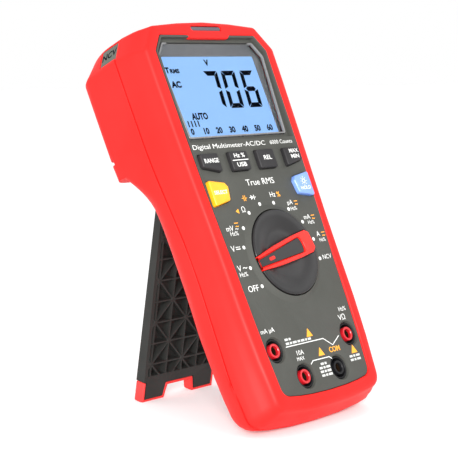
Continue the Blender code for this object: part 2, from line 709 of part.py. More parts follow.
def stand(case):
    axis = empty("stand_axis", case)
    axis.location = point(0, HINGE_V, HINGE_W)
    axis.rotation_euler = (math.radians(OPEN_DEG), 0, 0)
    core_end = -STAND_L + TRIM_T + FIT
    plate = node("tilt_stand", stand_plate(STAND_HALF, -STAND_L + TRIM_L, 0), "stand_grey", axis)
    inset = TRIM_T + FIT
    join(plate, rod_u(BARREL_R, -STAND_HALF, STAND_HALF, 0, 0),
         rod_u(PIN_R, -STAND_HALF - PIN_REACH, STAND_HALF + PIN_REACH, 0, 0, 14),
         foot_shape(inset, core_end, -STAND_L + TRIM_L + 4, -STAND_BACK + inset, stand_inner(1)))
    sole = foot_shape(0, -STAND_L, -STAND_L + TRIM_L - FIT, -STAND_BACK, stand_inner(1))
    trim = node("stand_foot_trim", sole, "red_rubber", axis)
    cut(trim, foot_shape(TRIM_T, -STAND_L + TRIM_T, -STAND_L + TRIM_L + 9, -STAND_BACK + TRIM_T, 20))
    return trim


def stand_inner(share):
    """Height of the stand's inner face, from the hinge (0) to the foot (1)."""
    return -STAND_BACK + STAND_T_TOP + (STAND_T_FOOT - STAND_T_TOP) * share


def stand_plate(half, low, high):
    """The plate below the hinge, thicker towards the foot."""
    loops = []
    for v, share in ((low, -low / STAND_L), (high, 0.0)):
        face = stand_inner(share)
        loops.append([point(u, v, w) for u, w in ((-half, -STAND_BACK), (half, -STAND_BACK), (half, face),
                                                  (-half, face))])
    return capped(loops)


def foot_shape(inset, low, high, w0, w1):
    """The foot's outline with its notch, drawn in by an inset."""
    top, bottom, rise = NOTCH
    half = STAND_HALF - inset
    peak = -STAND_L + rise + inset
    slope = (bottom - top) / rise
    near = bottom + inset - slope * (low + STAND_L)
    outline = ((-half, low), (-near, low), (-top - inset, peak), (top + inset, peak), (near, low),
               (half, low), (half, high), (-half, high))
    return prism(outline, w0, w1)


def settle(case, shell, trim):
    """Lean the case back until heel and foot share one level, and stand its box on the origin."""
    corner = trim.parent.matrix_basis @ point(0, -STAND_L, stand_inner(1))
    heel = [v for v in corners_of(shell) if v.y < corner.y - 0.01]
    lean = max(math.atan2(corner.z - v.z, corner.y - v.y) for v in heel)
    case.rotation_euler = (-lean, 0, 0)
    case.location.z = -(Matrix.Rotation(-lean, 3, "X") @ corner).z - SOLE_TRIM * MM
    bm = bmesh.new()
    bmesh.ops.create_cube(bm, size=1.0, matrix=Matrix.Translation((0, 0, -0.5)))
    ground = combine(shell, bm, "DIFFERENCE")
    ground.parent = None
    flat = trim.modifiers.new("sole", "BOOLEAN")
    flat.operation = "DIFFERENCE"
    flat.solver = "EXACT"
    flat.object = ground
    bpy.context.view_layer.update()
    ys = [v.y for thing in bpy.data.objects if thing.type == "MESH" and not thing.hide_render
          for v in corners_of(thing)]
    case.location.y = -(min(ys) + max(ys)) / 2


def corners_of(thing):
    """World places of an object's evaluated points."""
    bpy.context.view_layer.update()
    seen = thing.evaluated_get(bpy.context.evaluated_depsgraph_get())
    return [thing.matrix_world @ v.co for v in seen.data.vertices]


def build():
    for thing in list(bpy.data.objects):
        bpy.data.objects.remove(thing, do_unlink=True)
    case = empty("case_frame")
    front_bezel(case)
    shell = rear_shell(case)
    control_panel(case)
    display(case)
    keys(case)
    circuit(case)
    rotary_switch(case)
    jacks(case)
    power(case)
    trim = stand(case)
    for number, spot in enumerate(CASE_SCREWS, 1):
        screw("case_screw_%d" % number, *spot, case)
    screw("door_screw", *DOOR_SCREW, case)
    settle(case, shell, trim)


build()
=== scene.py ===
import json
import math
import bmesh
import bpy
from mathutils import Matrix, Vector


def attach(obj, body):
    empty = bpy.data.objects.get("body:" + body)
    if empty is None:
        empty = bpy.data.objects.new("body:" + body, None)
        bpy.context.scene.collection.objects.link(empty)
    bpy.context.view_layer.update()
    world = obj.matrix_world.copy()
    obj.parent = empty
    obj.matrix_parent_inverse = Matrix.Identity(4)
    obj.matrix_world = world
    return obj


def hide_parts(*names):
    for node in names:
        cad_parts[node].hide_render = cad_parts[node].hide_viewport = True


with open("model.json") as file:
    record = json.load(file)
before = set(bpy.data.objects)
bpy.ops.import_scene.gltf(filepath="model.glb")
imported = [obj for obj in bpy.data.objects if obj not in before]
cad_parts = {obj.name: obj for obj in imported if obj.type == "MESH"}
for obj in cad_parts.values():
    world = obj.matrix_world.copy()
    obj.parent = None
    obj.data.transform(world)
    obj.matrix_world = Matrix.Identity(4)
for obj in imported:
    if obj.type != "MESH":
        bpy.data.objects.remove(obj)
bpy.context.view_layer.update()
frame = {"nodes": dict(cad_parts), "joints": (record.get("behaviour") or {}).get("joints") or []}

# Everything on the case is laid out in millimetres as (u, v, w): right, up along the face, out of it.
# The origin is the middle of the rotary switch, which the selector's joint gives.
mm = 0.001
joints = {joint["name"]: joint for joint in frame["joints"]}
turnJoint = joints["selector_turn"]
hingeJoint = joints["stand_hinge"]
rightAxis = Vector((1, 0, 0))
outAxis = Vector(turnJoint["axis"]).normalized()
upAxis = outAxis.cross(rightAxis)
caseTurn = Matrix((rightAxis, upAxis, outAxis)).transposed()
caseFrame = Matrix.Translation(turnJoint["pos_m"]) @ caseTurn.to_4x4()

# The opened stand: origin on the hinge, v runs up the plate, w towards the case.
standOpening = 34.6  # degrees
standFrame = (Matrix.Translation(hingeJoint["pos_m"]) @ caseTurn.to_4x4()
              @ Matrix.Rotation(math.radians(standOpening), 4, "X"))


def pick(*things):
    if bpy.context.mode != "OBJECT":
        bpy.ops.object.mode_set(mode="OBJECT")
    bpy.ops.object.select_all(action="DESELECT")
    for thing in things:
        thing.select_set(True)
    bpy.context.view_layer.objects.active = things[0] if things else None


def editing(thing, mode="FACE"):
    pick(thing)
    bpy.ops.object.mode_set(mode="EDIT")
    bpy.ops.mesh.select_mode(type=mode)


def smoothed(thing, degrees):
    pick(thing)
    bpy.ops.object.shade_smooth_by_angle(angle=math.radians(degrees))
    return thing


def finishEditing(thing):
    # doubles merged, normals out, and smooth shading up to a fold
    editing(thing)
    bpy.ops.mesh.select_all(action="SELECT")
    bpy.ops.mesh.remove_doubles(threshold=0.000001)
    bpy.ops.mesh.dissolve_degenerate(threshold=0.0000005)
    bpy.ops.mesh.normals_make_consistent(inside=False)
    bpy.ops.object.mode_set(mode="OBJECT")
    return smoothed(thing, 35)


def startRing(name, points):
    # a circle primitive whose points are pulled onto an outline
    pick()
    bpy.ops.mesh.primitive_circle_add(vertices=len(points), radius=0.01)
    thing = bpy.context.object
    thing.name = name
    for vertex, place in zip(thing.data.vertices, points):
        vertex.co = Vector(place) * mm
    return thing


def selectOpenEdges(thing):
    mesh = bmesh.from_edit_mesh(thing.data)
    for edge in mesh.edges:
        edge.select = edge.is_boundary
    bmesh.update_edit_mesh(thing.data)


def loft(name, rings, closed=False, capped=True):
    # extrudes the first ring through the others; closed joins the last ring to the first
    thing = startRing(name, rings[0])
    order = thing.data.attributes.new("order", "INT", "POINT")
    order.data.foreach_set("value", range(len(rings[0])))
    editing(thing, "EDGE")
    bpy.ops.mesh.select_all(action="SELECT")
    for ring in rings[1:]:
        bpy.ops.mesh.extrude_edges_move()
        mesh = bmesh.from_edit_mesh(thing.data)
        number = mesh.verts.layers.int["order"]
        for vertex in mesh.verts:
            if vertex.select:
                vertex.co = Vector(ring[vertex[number]]) * mm
        bmesh.update_edit_mesh(thing.data)
    if closed:
        selectOpenEdges(thing)
        bpy.ops.mesh.bridge_edge_loops()
    elif capped:
        bpy.ops.mesh.edge_face_add()
        selectOpenEdges(thing)
        bpy.ops.mesh.edge_face_add()
    bpy.ops.object.mode_set(mode="OBJECT")
    thing.data.attributes.remove(thing.data.attributes["order"])
    return finishEditing(thing)


def plate(name, outline, low, high):
    return loft(name, [[(u, v, low) for u, v in outline], [(u, v, high) for u, v in outline]])


def box(name, u0, u1, v0, v1, w0, w1):
    return plate(name, ((u0, v0), (u1, v0), (u1, v1), (u0, v1)), w0, w1)


def lathe(name, profile, u=0.0, v=0.0, steps=64):
    # a profile of (radius, w) spun about an axis along w
    thing = startRing(name, [(radius, 0, w) for radius, w in profile])
    editing(thing, "EDGE")
    bpy.ops.mesh.select_all(action="SELECT")
    bpy.ops.mesh.spin(steps=steps, angle=2 * math.pi, center=(0, 0, 0), axis=(0, 0, 1))
    bpy.ops.object.mode_set(mode="OBJECT")
    thing.data.transform(Matrix.Translation(Vector((u, v, 0)) * mm))
    return finishEditing(thing)


def peg(name, radius, low, high, steps):
    return lathe(name, ((0, low), (radius, low), (radius, high), (0, high)), steps=steps)


def applied(thing, kind, **settings):
    pick(thing)
    modifier = thing.modifiers.new("step", kind)
    for setting, value in settings.items():
        setattr(modifier, setting, value)
    bpy.ops.object.modifier_apply(modifier=modifier.name)
    return thing


def bevelled(thing, width, segments=3, degrees=40):
    applied(thing, "BEVEL", width=width * mm, segments=segments, limit_method="ANGLE",
            angle_limit=math.radians(degrees), use_clamp_overlap=True)
    return smoothed(thing, 50)


def cut(thing, *tools, operation="DIFFERENCE"):
    for tool in tools:
        applied(thing, "BOOLEAN", operation=operation, solver="EXACT", object=tool)
        bpy.data.objects.remove(tool)
    return thing


def merged(thing, *pieces):
    return cut(thing, *pieces, operation="UNION")


def joined(name, *things):
    pick(*things)
    if len(things) > 1:
        bpy.ops.object.join()
    thing = bpy.context.object
    thing.name = name
    return thing


def settled(thing, paintName, body, slot=None, nodes=(), place=None):
    # puts a finished piece in the row frame, with its place in its mesh, on its body
    pick(thing)
    thing.matrix_world = place or caseFrame
    bpy.ops.object.transform_apply(location=True, rotation=True, scale=True)
    thing.data.materials.clear()
    thing.data.materials.append(paint[paintName])
    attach(thing, body)
    if nodes:
        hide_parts(*nodes)
    return thing


def arcCorner(before, corner, after, radius, steps):
    a = (before - corner).normalized()
    b = (after - corner).normalized()
    half = a.angle(b) / 2
    centre = corner + (a + b).normalized() * radius / math.sin(half)
    start = corner + a * radius / math.tan(half) - centre
    end = corner + b * radius / math.tan(half) - centre
    sweep = start.angle_signed(end)
    return [tuple(centre + Matrix.Rotation(-sweep * i / steps, 2) @ start) for i in range(steps + 1)]


def rounded(corners, steps=10):
    # a closed outline of (u, v, radius) corners
    out = []
    for i, corner in enumerate(corners):
        before = Vector(corners[i - 1][:2])
        after = Vector(corners[(i + 1) % len(corners)][:2])
        if corner[2]:
            out += arcCorner(before, Vector(corner[:2]), after, corner[2], steps)
        else:
            out.append(tuple(corner[:2]))
    return out


def roundedBox(u0, u1, v0, v1, radius, steps=10):
    return rounded([(u0, v0, radius), (u1, v0, radius), (u1, v1, radius), (u0, v1, radius)], steps)


def mirrored(half, heights=(), steps=8):
    # a right half from bottom centre to top centre, filleted, with its mirror image
    right = [half[0][:2]]
    for before, corner, after in zip(half, half[1:], half[2:]):
        if len(corner) > 2:
            right += arcCorner(Vector(before[:2]), Vector(corner[:2]), Vector(after[:2]), corner[2], steps)
        else:
            right.append(tuple(corner[:2]))
    right.append(half[-1][:2])
    for height in heights:
        i = next(i for i in range(len(right) - 1) if right[i][1] < height <= right[i + 1][1])
        share = (height - right[i][1]) / (right[i + 1][1] - right[i][1])
        right.insert(i + 1, mixed(right[i:i + 1], right[i + 1:i + 2], share)[0])
    return right + [(-u, v) for u, v in reversed(right[1:-1])]


def mixed(a, b, share):
    return [(p[0] + (q[0] - p[0]) * share, p[1] + (q[1] - p[1]) * share) for p, q in zip(a, b)]


def grown(outline, distance):
    # moves a closed anticlockwise outline outwards
    out = []
    for i in range(len(outline)):
        before, here, after = (Vector(outline[j % len(outline)]) for j in (i - 1, i, i + 1))
        a = (here - before).normalized()
        b = (after - here).normalized()
        normal = Vector((a.y + b.y, -a.x - b.x)).normalized()
        stretch = 1 / max(0.35, normal.dot(Vector((a.y, -a.x))))
        out.append(tuple(here + normal * distance * stretch))
    return out


def areaOf(outline):
    # positive when it runs anticlockwise
    return sum(a[0] * b[1] - b[0] * a[1] for a, b in zip(outline, outline[1:] + outline[:1])) / 2


def anticlockwise(outline):
    return outline if areaOf(outline) > 0 else outline[::-1]


def disc(radius, u=0.0, v=0.0, steps=48):
    return [(u + radius * math.cos(2 * math.pi * i / steps), v + radius * math.sin(2 * math.pi * i / steps))
            for i in range(steps)]


def raised(outline, height):
    if callable(height):
        return [(u, v, height(v)) for u, v in outline]
    return [(u, v, height) for u, v in outline]


def ease(x, x0, x1, y0, y1):
    t = min(1.0, max(0.0, (x - x0) / (x1 - x0)))
    return y0 + (y1 - y0) * t * t * (3 - 2 * t)


def turnedBy(points, degrees):
    a = math.radians(degrees)
    return [(u * math.cos(a) - v * math.sin(a), u * math.sin(a) + v * math.cos(a)) for u, v in points]


def shaderNode(tree, kind, values):
    node = tree.nodes.new("ShaderNode" + kind)
    fill(node, values)
    return node


def fill(node, values):
    for socket, value in values.items():
        node.inputs[socket].default_value = value


def wire(tree, *rows):
    for start, output, end, socket in rows:
        tree.links.new(start.outputs[output], end.inputs[socket])


def newGroup(name, inputs, outputs):
    group = bpy.data.node_groups.new(name, "ShaderNodeTree")
    for label, kind, value in inputs:
        socket = group.interface.new_socket(name=label, in_out="INPUT", socket_type=kind)
        socket.default_value = value
    for label, kind in outputs:
        group.interface.new_socket(name=label, in_out="OUTPUT", socket_type=kind)
    return group, group.nodes.new("NodeGroupInput"), group.nodes.new("NodeGroupOutput")


def makeGrainGroup():
    # fine spark-eroded texture of a mould, as a height
    group, inside, out = newGroup("mouldedGrain", (("Size", "NodeSocketFloat", 2500.0),
                                                   ("Soft Size", "NodeSocketFloat", 90.0)),
                                  (("Height", "NodeSocketFloat"), ("Mask", "NodeSocketFloat")))
    place = shaderNode(group, "TexCoord", {})
    fine = shaderNode(group, "TexNoise", {"Detail": 3})
    soft = shaderNode(group, "TexNoise", {"Detail": 2})
    add = shaderNode(group, "Math", {1: 0.35})
    add.operation = "MULTIPLY_ADD"
    wire(group, (place, "Object", fine, "Vector"), (place, "Object", soft, "Vector"),
         (inside, "Size", fine, "Scale"), (inside, "Soft Size", soft, "Scale"),
         (soft, "Fac", add, 0), (fine, "Fac", add, 2), (add, 0, out, "Height"), (soft, "Fac", out, "Mask"))
    return group


def makeHandledGroup():
    # slow change of tone and gloss, as handling leaves on a moulding
    group, inside, out = newGroup("handledSurface", (("Colour", "NodeSocketColor", (1, 1, 1, 1)),
                                                     ("Worn Colour", "NodeSocketColor", (1, 1, 1, 1)),
                                                     ("Size", "NodeSocketFloat", 40.0),
                                                     ("Dull", "NodeSocketFloat", 0.5),
                                                     ("Polished", "NodeSocketFloat", 0.4)),
                                  (("Colour", "NodeSocketColor"), ("Roughness", "NodeSocketFloat")))
    place = shaderNode(group, "TexCoord", {})
    cloud = shaderNode(group, "TexNoise", {"Detail": 4, "Roughness": 0.6})
    spread = shaderNode(group, "MapRange", {"From Min": 0.35, "From Max": 0.65})
    gloss = shaderNode(group, "MapRange", {})
    tint = shaderNode(group, "Mix", {})
    tint.data_type = "RGBA"
    wire(group, (place, "Object", cloud, "Vector"), (inside, "Size", cloud, "Scale"),
         (cloud, "Fac", spread, "Value"),
         (spread, "Result", tint, "Factor"), (spread, "Result", gloss, "Value"),
         (inside, "Colour", tint, "A"), (inside, "Worn Colour", tint, "B"),
         (inside, "Dull", gloss, "To Min"), (inside, "Polished", gloss, "To Max"),
         (tint, "Result", out, "Colour"), (gloss, "Result", out, "Roughness"))
    return group


grainGroup = makeGrainGroup()
handledGroup = makeHandledGroup()


def grouped(tree, group, values):
    node = shaderNode(tree, "Group", {})
    node.node_tree = group
    fill(node, values)
    return node


def finish(name, colour, worn, size, dull, polished, grain, soft, depth,
           metallic=0.0, coat=0.0, specular=0.5):
    # one material: tone and gloss from the handled group, relief of depth mm from the grain group
    material = bpy.data.materials.new(name)
    material.use_nodes = True
    tree = material.node_tree
    shader = tree.nodes["Principled BSDF"]
    fill(shader, {"Metallic": metallic, "Coat Weight": coat, "Coat Roughness": 0.12,
                  "Specular IOR Level": specular})
    handled = grouped(tree, handledGroup, {"Colour": (*colour, 1), "Worn Colour": (*worn, 1), "Size": size,
                                           "Dull": dull, "Polished": polished})
    relief = grouped(tree, grainGroup, {"Size": grain, "Soft Size": soft})
    bump = shaderNode(tree, "Bump", {"Strength": 1.0, "Distance": depth * mm})
    wire(tree, (handled, "Colour", shader, "Base Color"), (handled, "Roughness", shader, "Roughness"),
         (relief, "Height", bump, "Height"), (bump, "Normal", shader, "Normal"))
    return material


def makeGlass(name, tint):
    material = finish(name, tint, tint, 40, 0.06, 0.02, 2500, 90, 0.001)
    fill(material.node_tree.nodes["Principled BSDF"], {"Transmission Weight": 1.0, "IOR": 1.03})
    return material


def makeLit(name, colour, glow, strength):
    material = finish(name, colour, [c * 0.97 for c in colour], 25, 0.5, 0.42, 2500, 90, 0.002, specular=0.05)
    tree = material.node_tree
    shader = tree.nodes["Principled BSDF"]
    worn = [c * 0.96 for c in glow]
    glowing = grouped(tree, handledGroup, {"Colour": (*glow, 1), "Worn Colour": (*worn, 1), "Size": 12})
    wire(tree, (glowing, "Colour", shader, "Emission Color"))
    fill(shader, {"Emission Strength": strength})
    return material


paints = {
    # colour, worn colour, cloud size, dull and polished roughness, fine and soft grain, its depth in mm
    "redShell": ((0.68, 0.009, 0.007), (0.73, 0.012, 0.010), 22, 0.56, 0.48, 1500, 70, 0.012,
                 {"specular": 0.22}),
    "panelGrey": ((0.052, 0.053, 0.046), (0.060, 0.061, 0.054), 30, 0.62, 0.52, 2600, 160, 0.05,
                  {"specular": 0.25}),
    "keyGrey": ((0.018, 0.017, 0.018), (0.024, 0.023, 0.024), 60, 0.55, 0.46, 2200, 120, 0.02,
                {"specular": 0.25}),
    "keyYellow": ((0.84, 0.34, 0.004), (0.88, 0.40, 0.008), 60, 0.42, 0.34, 2200, 120, 0.012, {}),
    "keyBlue": ((0.13, 0.24, 0.62), (0.18, 0.31, 0.70), 60, 0.34, 0.26, 2200, 120, 0.012, {"coat": 0.3}),
    "knobGrey": ((0.008, 0.0075, 0.008), (0.012, 0.011, 0.0115), 45, 0.34, 0.28, 2400, 140, 0.008,
                 {"specular": 0.45}),
    "knobRed": ((0.74, 0.016, 0.010), (0.78, 0.022, 0.015), 60, 0.42, 0.34, 2200, 120, 0.01,
                {"specular": 0.3}),
    "standPlastic": ((0.013, 0.0135, 0.012), (0.018, 0.0185, 0.017), 35, 0.62, 0.52, 2400, 150, 0.03,
                     {"specular": 0.3}),
    "footRubber": ((0.62, 0.018, 0.016), (0.68, 0.028, 0.026), 60, 0.7, 0.6, 2600, 200, 0.03, {}),
    "coverGrey": ((0.085, 0.09, 0.075), (0.10, 0.105, 0.09), 30, 0.6, 0.5, 2600, 160, 0.03,
                  {"specular": 0.25}),
    "borderGrey": ((0.125, 0.125, 0.128), (0.14, 0.14, 0.143), 40, 0.5, 0.42, 2600, 90, 0.004,
                   {"specular": 0.15}),
    # lens edge: a lighter grey than the border, a painted highlight
    "lensEdgePaintedHighlight": ((0.15, 0.148, 0.15), (0.18, 0.178, 0.18), 50, 0.3, 0.24, 2600, 90, 0.003, {"coat": 0.2}),
    "smokeLens": ((0.045, 0.035, 0.05), (0.06, 0.045, 0.065), 50, 0.2, 0.14, 2600, 90, 0.003, {"coat": 0.5}),
    "displayInk": ((0.002, 0.003, 0.006), (0.004, 0.005, 0.009), 50, 0.6, 0.5, 2600, 90, 0.001,
                   {"specular": 0.0}),
    "printWhite": ((0.66, 0.66, 0.64), (0.72, 0.72, 0.70), 60, 0.55, 0.45, 2600, 90, 0.004, {}),
    "printOrange": ((0.86, 0.34, 0.02), (0.90, 0.38, 0.03), 60, 0.55, 0.45, 2600, 90, 0.004, {}),
    "printPale": ((0.50, 0.51, 0.49), (0.56, 0.57, 0.55), 60, 0.55, 0.45, 2600, 90, 0.004, {}),
    "jackRed": ((0.42, 0.006, 0.012), (0.48, 0.010, 0.016), 80, 0.36, 0.28, 2200, 120, 0.006, {"coat": 0.1}),
    # near black for black parts; on the jack housings it also stands in for the shade down in the wells
    "blackAndWellShade": ((0.006, 0.006, 0.007), (0.010, 0.010, 0.011), 80, 0.5, 0.4, 2200, 120, 0.01,
                  {"specular": 0.2}),
    "contactBrass": ((0.10, 0.055, 0.03), (0.14, 0.08, 0.04), 90, 0.6, 0.45, 3000, 200, 0.004,
                     {"metallic": 1.0}),
    "boardGreen": ((0.015, 0.14, 0.05), (0.03, 0.20, 0.08), 220, 0.42, 0.3, 1800, 500, 0.03, {}),
    "brass": ((0.62, 0.40, 0.13), (0.72, 0.50, 0.20), 90, 0.4, 0.24, 3000, 200, 0.004, {"metallic": 1.0}),
    "steel": ((0.48, 0.48, 0.49), (0.60, 0.60, 0.61), 120, 0.42, 0.25, 3000, 200, 0.005, {"metallic": 1.0}),
    "silicone": ((0.30, 0.31, 0.32), (0.35, 0.36, 0.37), 60, 0.75, 0.65, 2400, 120, 0.02, {}),
    "whitePlastic": ((0.74, 0.74, 0.70), (0.80, 0.80, 0.77), 60, 0.5, 0.4, 2400, 120, 0.01, {}),
    "ceramic": ((0.72, 0.69, 0.62), (0.80, 0.78, 0.72), 90, 0.45, 0.3, 2400, 300, 0.02, {}),
    "cellWrap": ((0.07, 0.12, 0.26), (0.10, 0.17, 0.33), 40, 0.34, 0.24, 2400, 60, 0.01, {"coat": 0.3}),
}
paint = {name: finish(name, *values, **extra) for name, (*values, extra) in paints.items()}
paint["clearPane"] = makeGlass("clearPane", (0.96, 0.98, 1.0))
paint["displayGlass"] = makeLit("displayGlass", (0.03, 0.05, 0.08), (0.30, 0.53, 0.95), 1.0)
print("materials ready:", len(paint))


shell = {
    # right half outlines from bottom centre to top centre: u, v and the radius of a rounded corner
    "seam": ((0, -73.3), (16, -73.0), (30, -71.8), (41.4, -69.9, 7), (42.9, -56), (43.1, -44),
             (42.8, -25), (42.5, -5), (42.8, 15), (43.5, 35), (44.0, 50), (44.3, 60),
             (45.0, 84), (45.4, 101, 4), (38.5, 111.8, 4), (19, 113.2), (0, 113.6)),
    "crease": ((0, -69.4), (15, -69.1), (26, -68.0), (35.4, -66.3, 6), (36.5, -55), (37.7, -44),
               (38.8, -25), (39.1, -5), (39.5, 15), (40.4, 35), (41.0, 50), (41.4, 60),
               (42.2, 84), (42.4, 99, 3), (34.0, 110.6, 3), (17, 112.2), (0, 112.9)),
    "back": ((0, -56.2), (10, -56.0), (18, -55.6), (27.5, -54.6, 3), (29, -50), (30, -41),
             (30.5, -25), (30, -5), (30.4, 15), (31.5, 35), (35.5, 50), (38.8, 60),
             (39.6, 84), (40, 97, 3), (33.5, 104.4, 3), (16, 105.4), (0, 105.7)),
    "window": ((0, -63.3), (12, -63.0), (20, -62.4), (30.0, -61.0, 5), (30.8, -52), (31.6, -42),
               (32.5, -25), (33.2, -5), (34.3, 15), (35.3, 35), (35.8, 50), (36.0, 60),
               (36.4, 84), (36.7, 98.2, 1.5), (31.1, 106, 1.5), (15, 106), (0, 106)),
    "rimLower": 0.9, "rimUpper": 0.1, "rimTurn": (-50.0, 50.0),
    "creaseDrop": -1.75, "wall": 2.4, "gap": 0.3, "seamGap": 0.8,
    "seamUpper": -17.6, "seamLower": -14.0, "seamTurn": (0.0, 62.0),
    "blockDepth": 43.0, "handleDepth": 30.0, "blockFoot": 53.0, "neckStart": 20.0, "neckRise": 8.5,
    "roundUpper": 5.0, "roundLower": 11.0, "roundEnd": 17.5,
    "slot": (60.5, 63.0, 38.5), "recess": (24.7, -27.6), "pin": (1.65, 29.0, 52.0, -31.2),
    "bay": (24.2, -36.1, 20.9),
    "tongue": (12.6, 104.3, 15.8, 106.8, -2.1),
    "indicator": (9.8, 108.2, 110.2),
}
seamLine = mirrored(shell["seam"])
creaseLine = mirrored(shell["crease"])
windowLine = mirrored(shell["window"])


def rimHeight(v):
    return ease(v, *shell["rimTurn"], shell["rimLower"], shell["rimUpper"])


def seamHeight(v):
    return ease(v, *shell["seamTurn"], shell["seamLower"], shell["seamUpper"])


def fromSeam(more):
    return lambda v: seamHeight(v) + more


def backDepth(v):
    if v >= shell["blockFoot"]:
        return shell["blockDepth"]
    rise = max(0.0, (v - shell["neckStart"]) / (shell["blockFoot"] - shell["neckStart"]))
    return shell["handleDepth"] + shell["neckRise"] * rise ** 3


def backRounding(v):
    side = ease(v, shell["blockFoot"] - 18, shell["blockFoot"], shell["roundLower"], shell["roundUpper"])
    return ease(v, -25, -60, side, shell["roundEnd"]) if v < 0 else ease(v, 98, 111, side, shell["roundEnd"])


def innerDepth(v):
    return ease(v, 66.0, 70.0, -shell["recess"][1] - shell["wall"], shell["blockDepth"] - shell["wall"])


def tongueOutline(gap, top):
    low, lowV, high, highV, _ = shell["tongue"]
    return ((-low - gap, lowV - gap), (low + gap, lowV - gap),
            (high + gap, highV + top), (-high - gap, highV + top))


def indicatorOutline(gap):
    half, low, high = shell["indicator"]
    return roundedBox(-half - gap, half + gap, low - gap, high + gap, (high - low) / 2 + gap - 0.05)


def makeBezel():
    drop, wall = shell["creaseDrop"], shell["wall"]
    # how far across the face, and how far below its crown: the rim rolls over into the side
    face = ((0.0, 0.22), (0.05, 0.06), (0.14, 0.0), (0.4, 0.02), (0.62, 0.09), (0.80, 0.21), (0.91, 0.43),
            (0.98, 0.72))
    side = ((0.03, 0.1), (0.10, 1.1), (0.22, 2.3), (0.38, 3.8), (0.55, 5.4), (0.75, 8.2))
    rings = [[(u, v, rimHeight(v) + (drop - rimHeight(v)) * fall)
              for u, v in mixed(windowLine, creaseLine, share)] for share, fall in face]
    rings += [raised(mixed(creaseLine, seamLine, share), drop - down) for share, down in side]
    edge = shell["seamGap"] / 2
    rings += [
        raised(seamLine, fromSeam(edge + 1.0)),
        raised(seamLine, fromSeam(edge + 0.1)),
        raised(grown(seamLine, -0.1), fromSeam(edge)),
        raised(grown(seamLine, -wall), fromSeam(edge)),
        raised(grown(creaseLine, -wall), drop - wall),
        raised(windowLine, lambda v: rimHeight(v) - wall - 1.0),
    ]
    bezel = loft("frontBezel", rings, closed=True)
    tongue = plate("tongue", tongueOutline(0, 1.0), shell["tongue"][4], shell["rimUpper"] - 0.05)
    bevelled(tongue, 0.3)
    merged(bezel, tongue)
    cut(bezel, plate("slotTool", indicatorOutline(shell["gap"]), -8, 4))
    settled(smoothed(bezel, 38), "redShell", "case", "red_shell", ["front_bezel"])


def screwHole(name, u, v, face):
    radius, shank, floor = 2.7, 1.4, face + 1.6
    return lathe(name, ((0, face - 8), (radius, face - 8), (radius, floor), (shank, floor), (shank, face + 9),
                        (0, face + 9)), u, v, 40)


sensor = {"ends": ((-44.4, 102.6), (-39.2, 110.7)), "face": -0.3, "low": -29.0, "high": -17.5}


def sensorOutline(gap, out):
    ends = [Vector(spot) for spot in sensor["ends"]]
    along = (ends[1] - ends[0]).normalized()
    outward = Vector((-along.y, along.x))
    low, high = (spot - outward * (1.1 - gap) for spot in (ends[0] + along * gap, ends[1] - along * gap))
    return [tuple(spot) for spot in (low, high, high + outward * out, low + outward * out)]


caseScrews = ((-31, 86, -43.0), (31, 86, -43.0), (-18, -49, -27.6), (18, -49, -27.6))
doorScrew = (0.0, 17.15, -27.6)


def makeRearShell():
    stations = (-15, 5, 22, 25, 28, 31, 38, 41, 44, 46, 48, 51.5, 52.9, 53.1, 56, 66, 70, 77)
    seam, back = mirrored(shell["seam"], stations), mirrored(shell["back"], stations)
    wall, edge = shell["wall"], shell["seamGap"] / 2
    inside, insideBack = grown(seam, -wall), grown(back, 0.6)

    def shrunk(outline, share):
        return [(u * share, v) for u, v in outline]

    rings = [raised(shrunk(insideBack, share), lambda v: -innerDepth(v)) for share in (0.0, 0.5)]
    rings += [
        raised(insideBack, lambda v: -innerDepth(v)),
        raised(mixed(insideBack, inside, 0.7), lambda v: 0.35 * backRounding(v) - innerDepth(v)),
        raised(inside, lambda v: min(0.8 * backRounding(v) - innerDepth(v), seamHeight(v) - 3)),
        raised(inside, fromSeam(-edge)),
        raised(grown(seam, -0.1), fromSeam(-edge)),
        raised(seam, fromSeam(-edge - 0.1)),
    ]
    for turn in (0, 8, 16, 25, 34, 44, 54, 64, 73, 82, 90):
        share = math.cos(math.radians(turn))
        down = 1 - math.sin(math.radians(turn))
        rings.append([(u, v, backRounding(v) * down - backDepth(v)) for u, v in mixed(back, seam, share)])
    rings += [raised(shrunk(back, share), lambda v: -backDepth(v)) for share in (0.66, 0.33, 0.0)]
    body = loftOpen("rearShell", rings)
    slotLow, slotHigh, slotDepth = shell["slot"]
    recessHalf, recessFloor = shell["recess"]
    pinRadius, pinReach, pinV, pinW = shell["pin"]
    bayHalf, bayLow, bayHigh = shell["bay"]
    pinTool = peg("pinTool", pinRadius, -pinReach, pinReach, 32)
    pinTool.data.transform(Matrix.Translation(Vector((0, pinV, pinW)) * mm)
                           @ Matrix.Rotation(math.pi / 2, 4, "Y"))
    cut(body,
        box("slotTool", -60, 60, slotLow, slotHigh, -60, -slotDepth),
        box("recessTool", -recessHalf, recessHalf, -90, slotLow, -60, recessFloor),
        box("bayTool", -bayHalf, bayHalf, bayLow, bayHigh, -60, -10),
        pinTool,
        plate("sensorTool", sensorOutline(0.0, 6), sensor["low"], sensor["high"]),
        *[screwHole("screwTool", *spot) for spot in caseScrews])
    settled(smoothed(body, 38), "redShell", "case", "red_shell", ["rear_shell"])


def loftOpen(name, rings):
    # a loft whose first and last rings have shrunk to a line, so that it closes itself
    spread = 0.002
    first, last = ([(spread * sideOf(i, len(ring)), v, w) for i, (_, v, w) in enumerate(ring)]
                   for ring in (rings[0], rings[-1]))
    thing = loft(name, [first] + rings[1:-1] + [last], capped=False)
    for vertex in thing.data.vertices:
        if abs(vertex.co.x) < 0.003 * mm:
            vertex.co.x = 0
    return finishEditing(thing)


def sideOf(i, count):
    half = count // 2
    if i in (0, half):
        return 0
    return 1 if i < half else -1


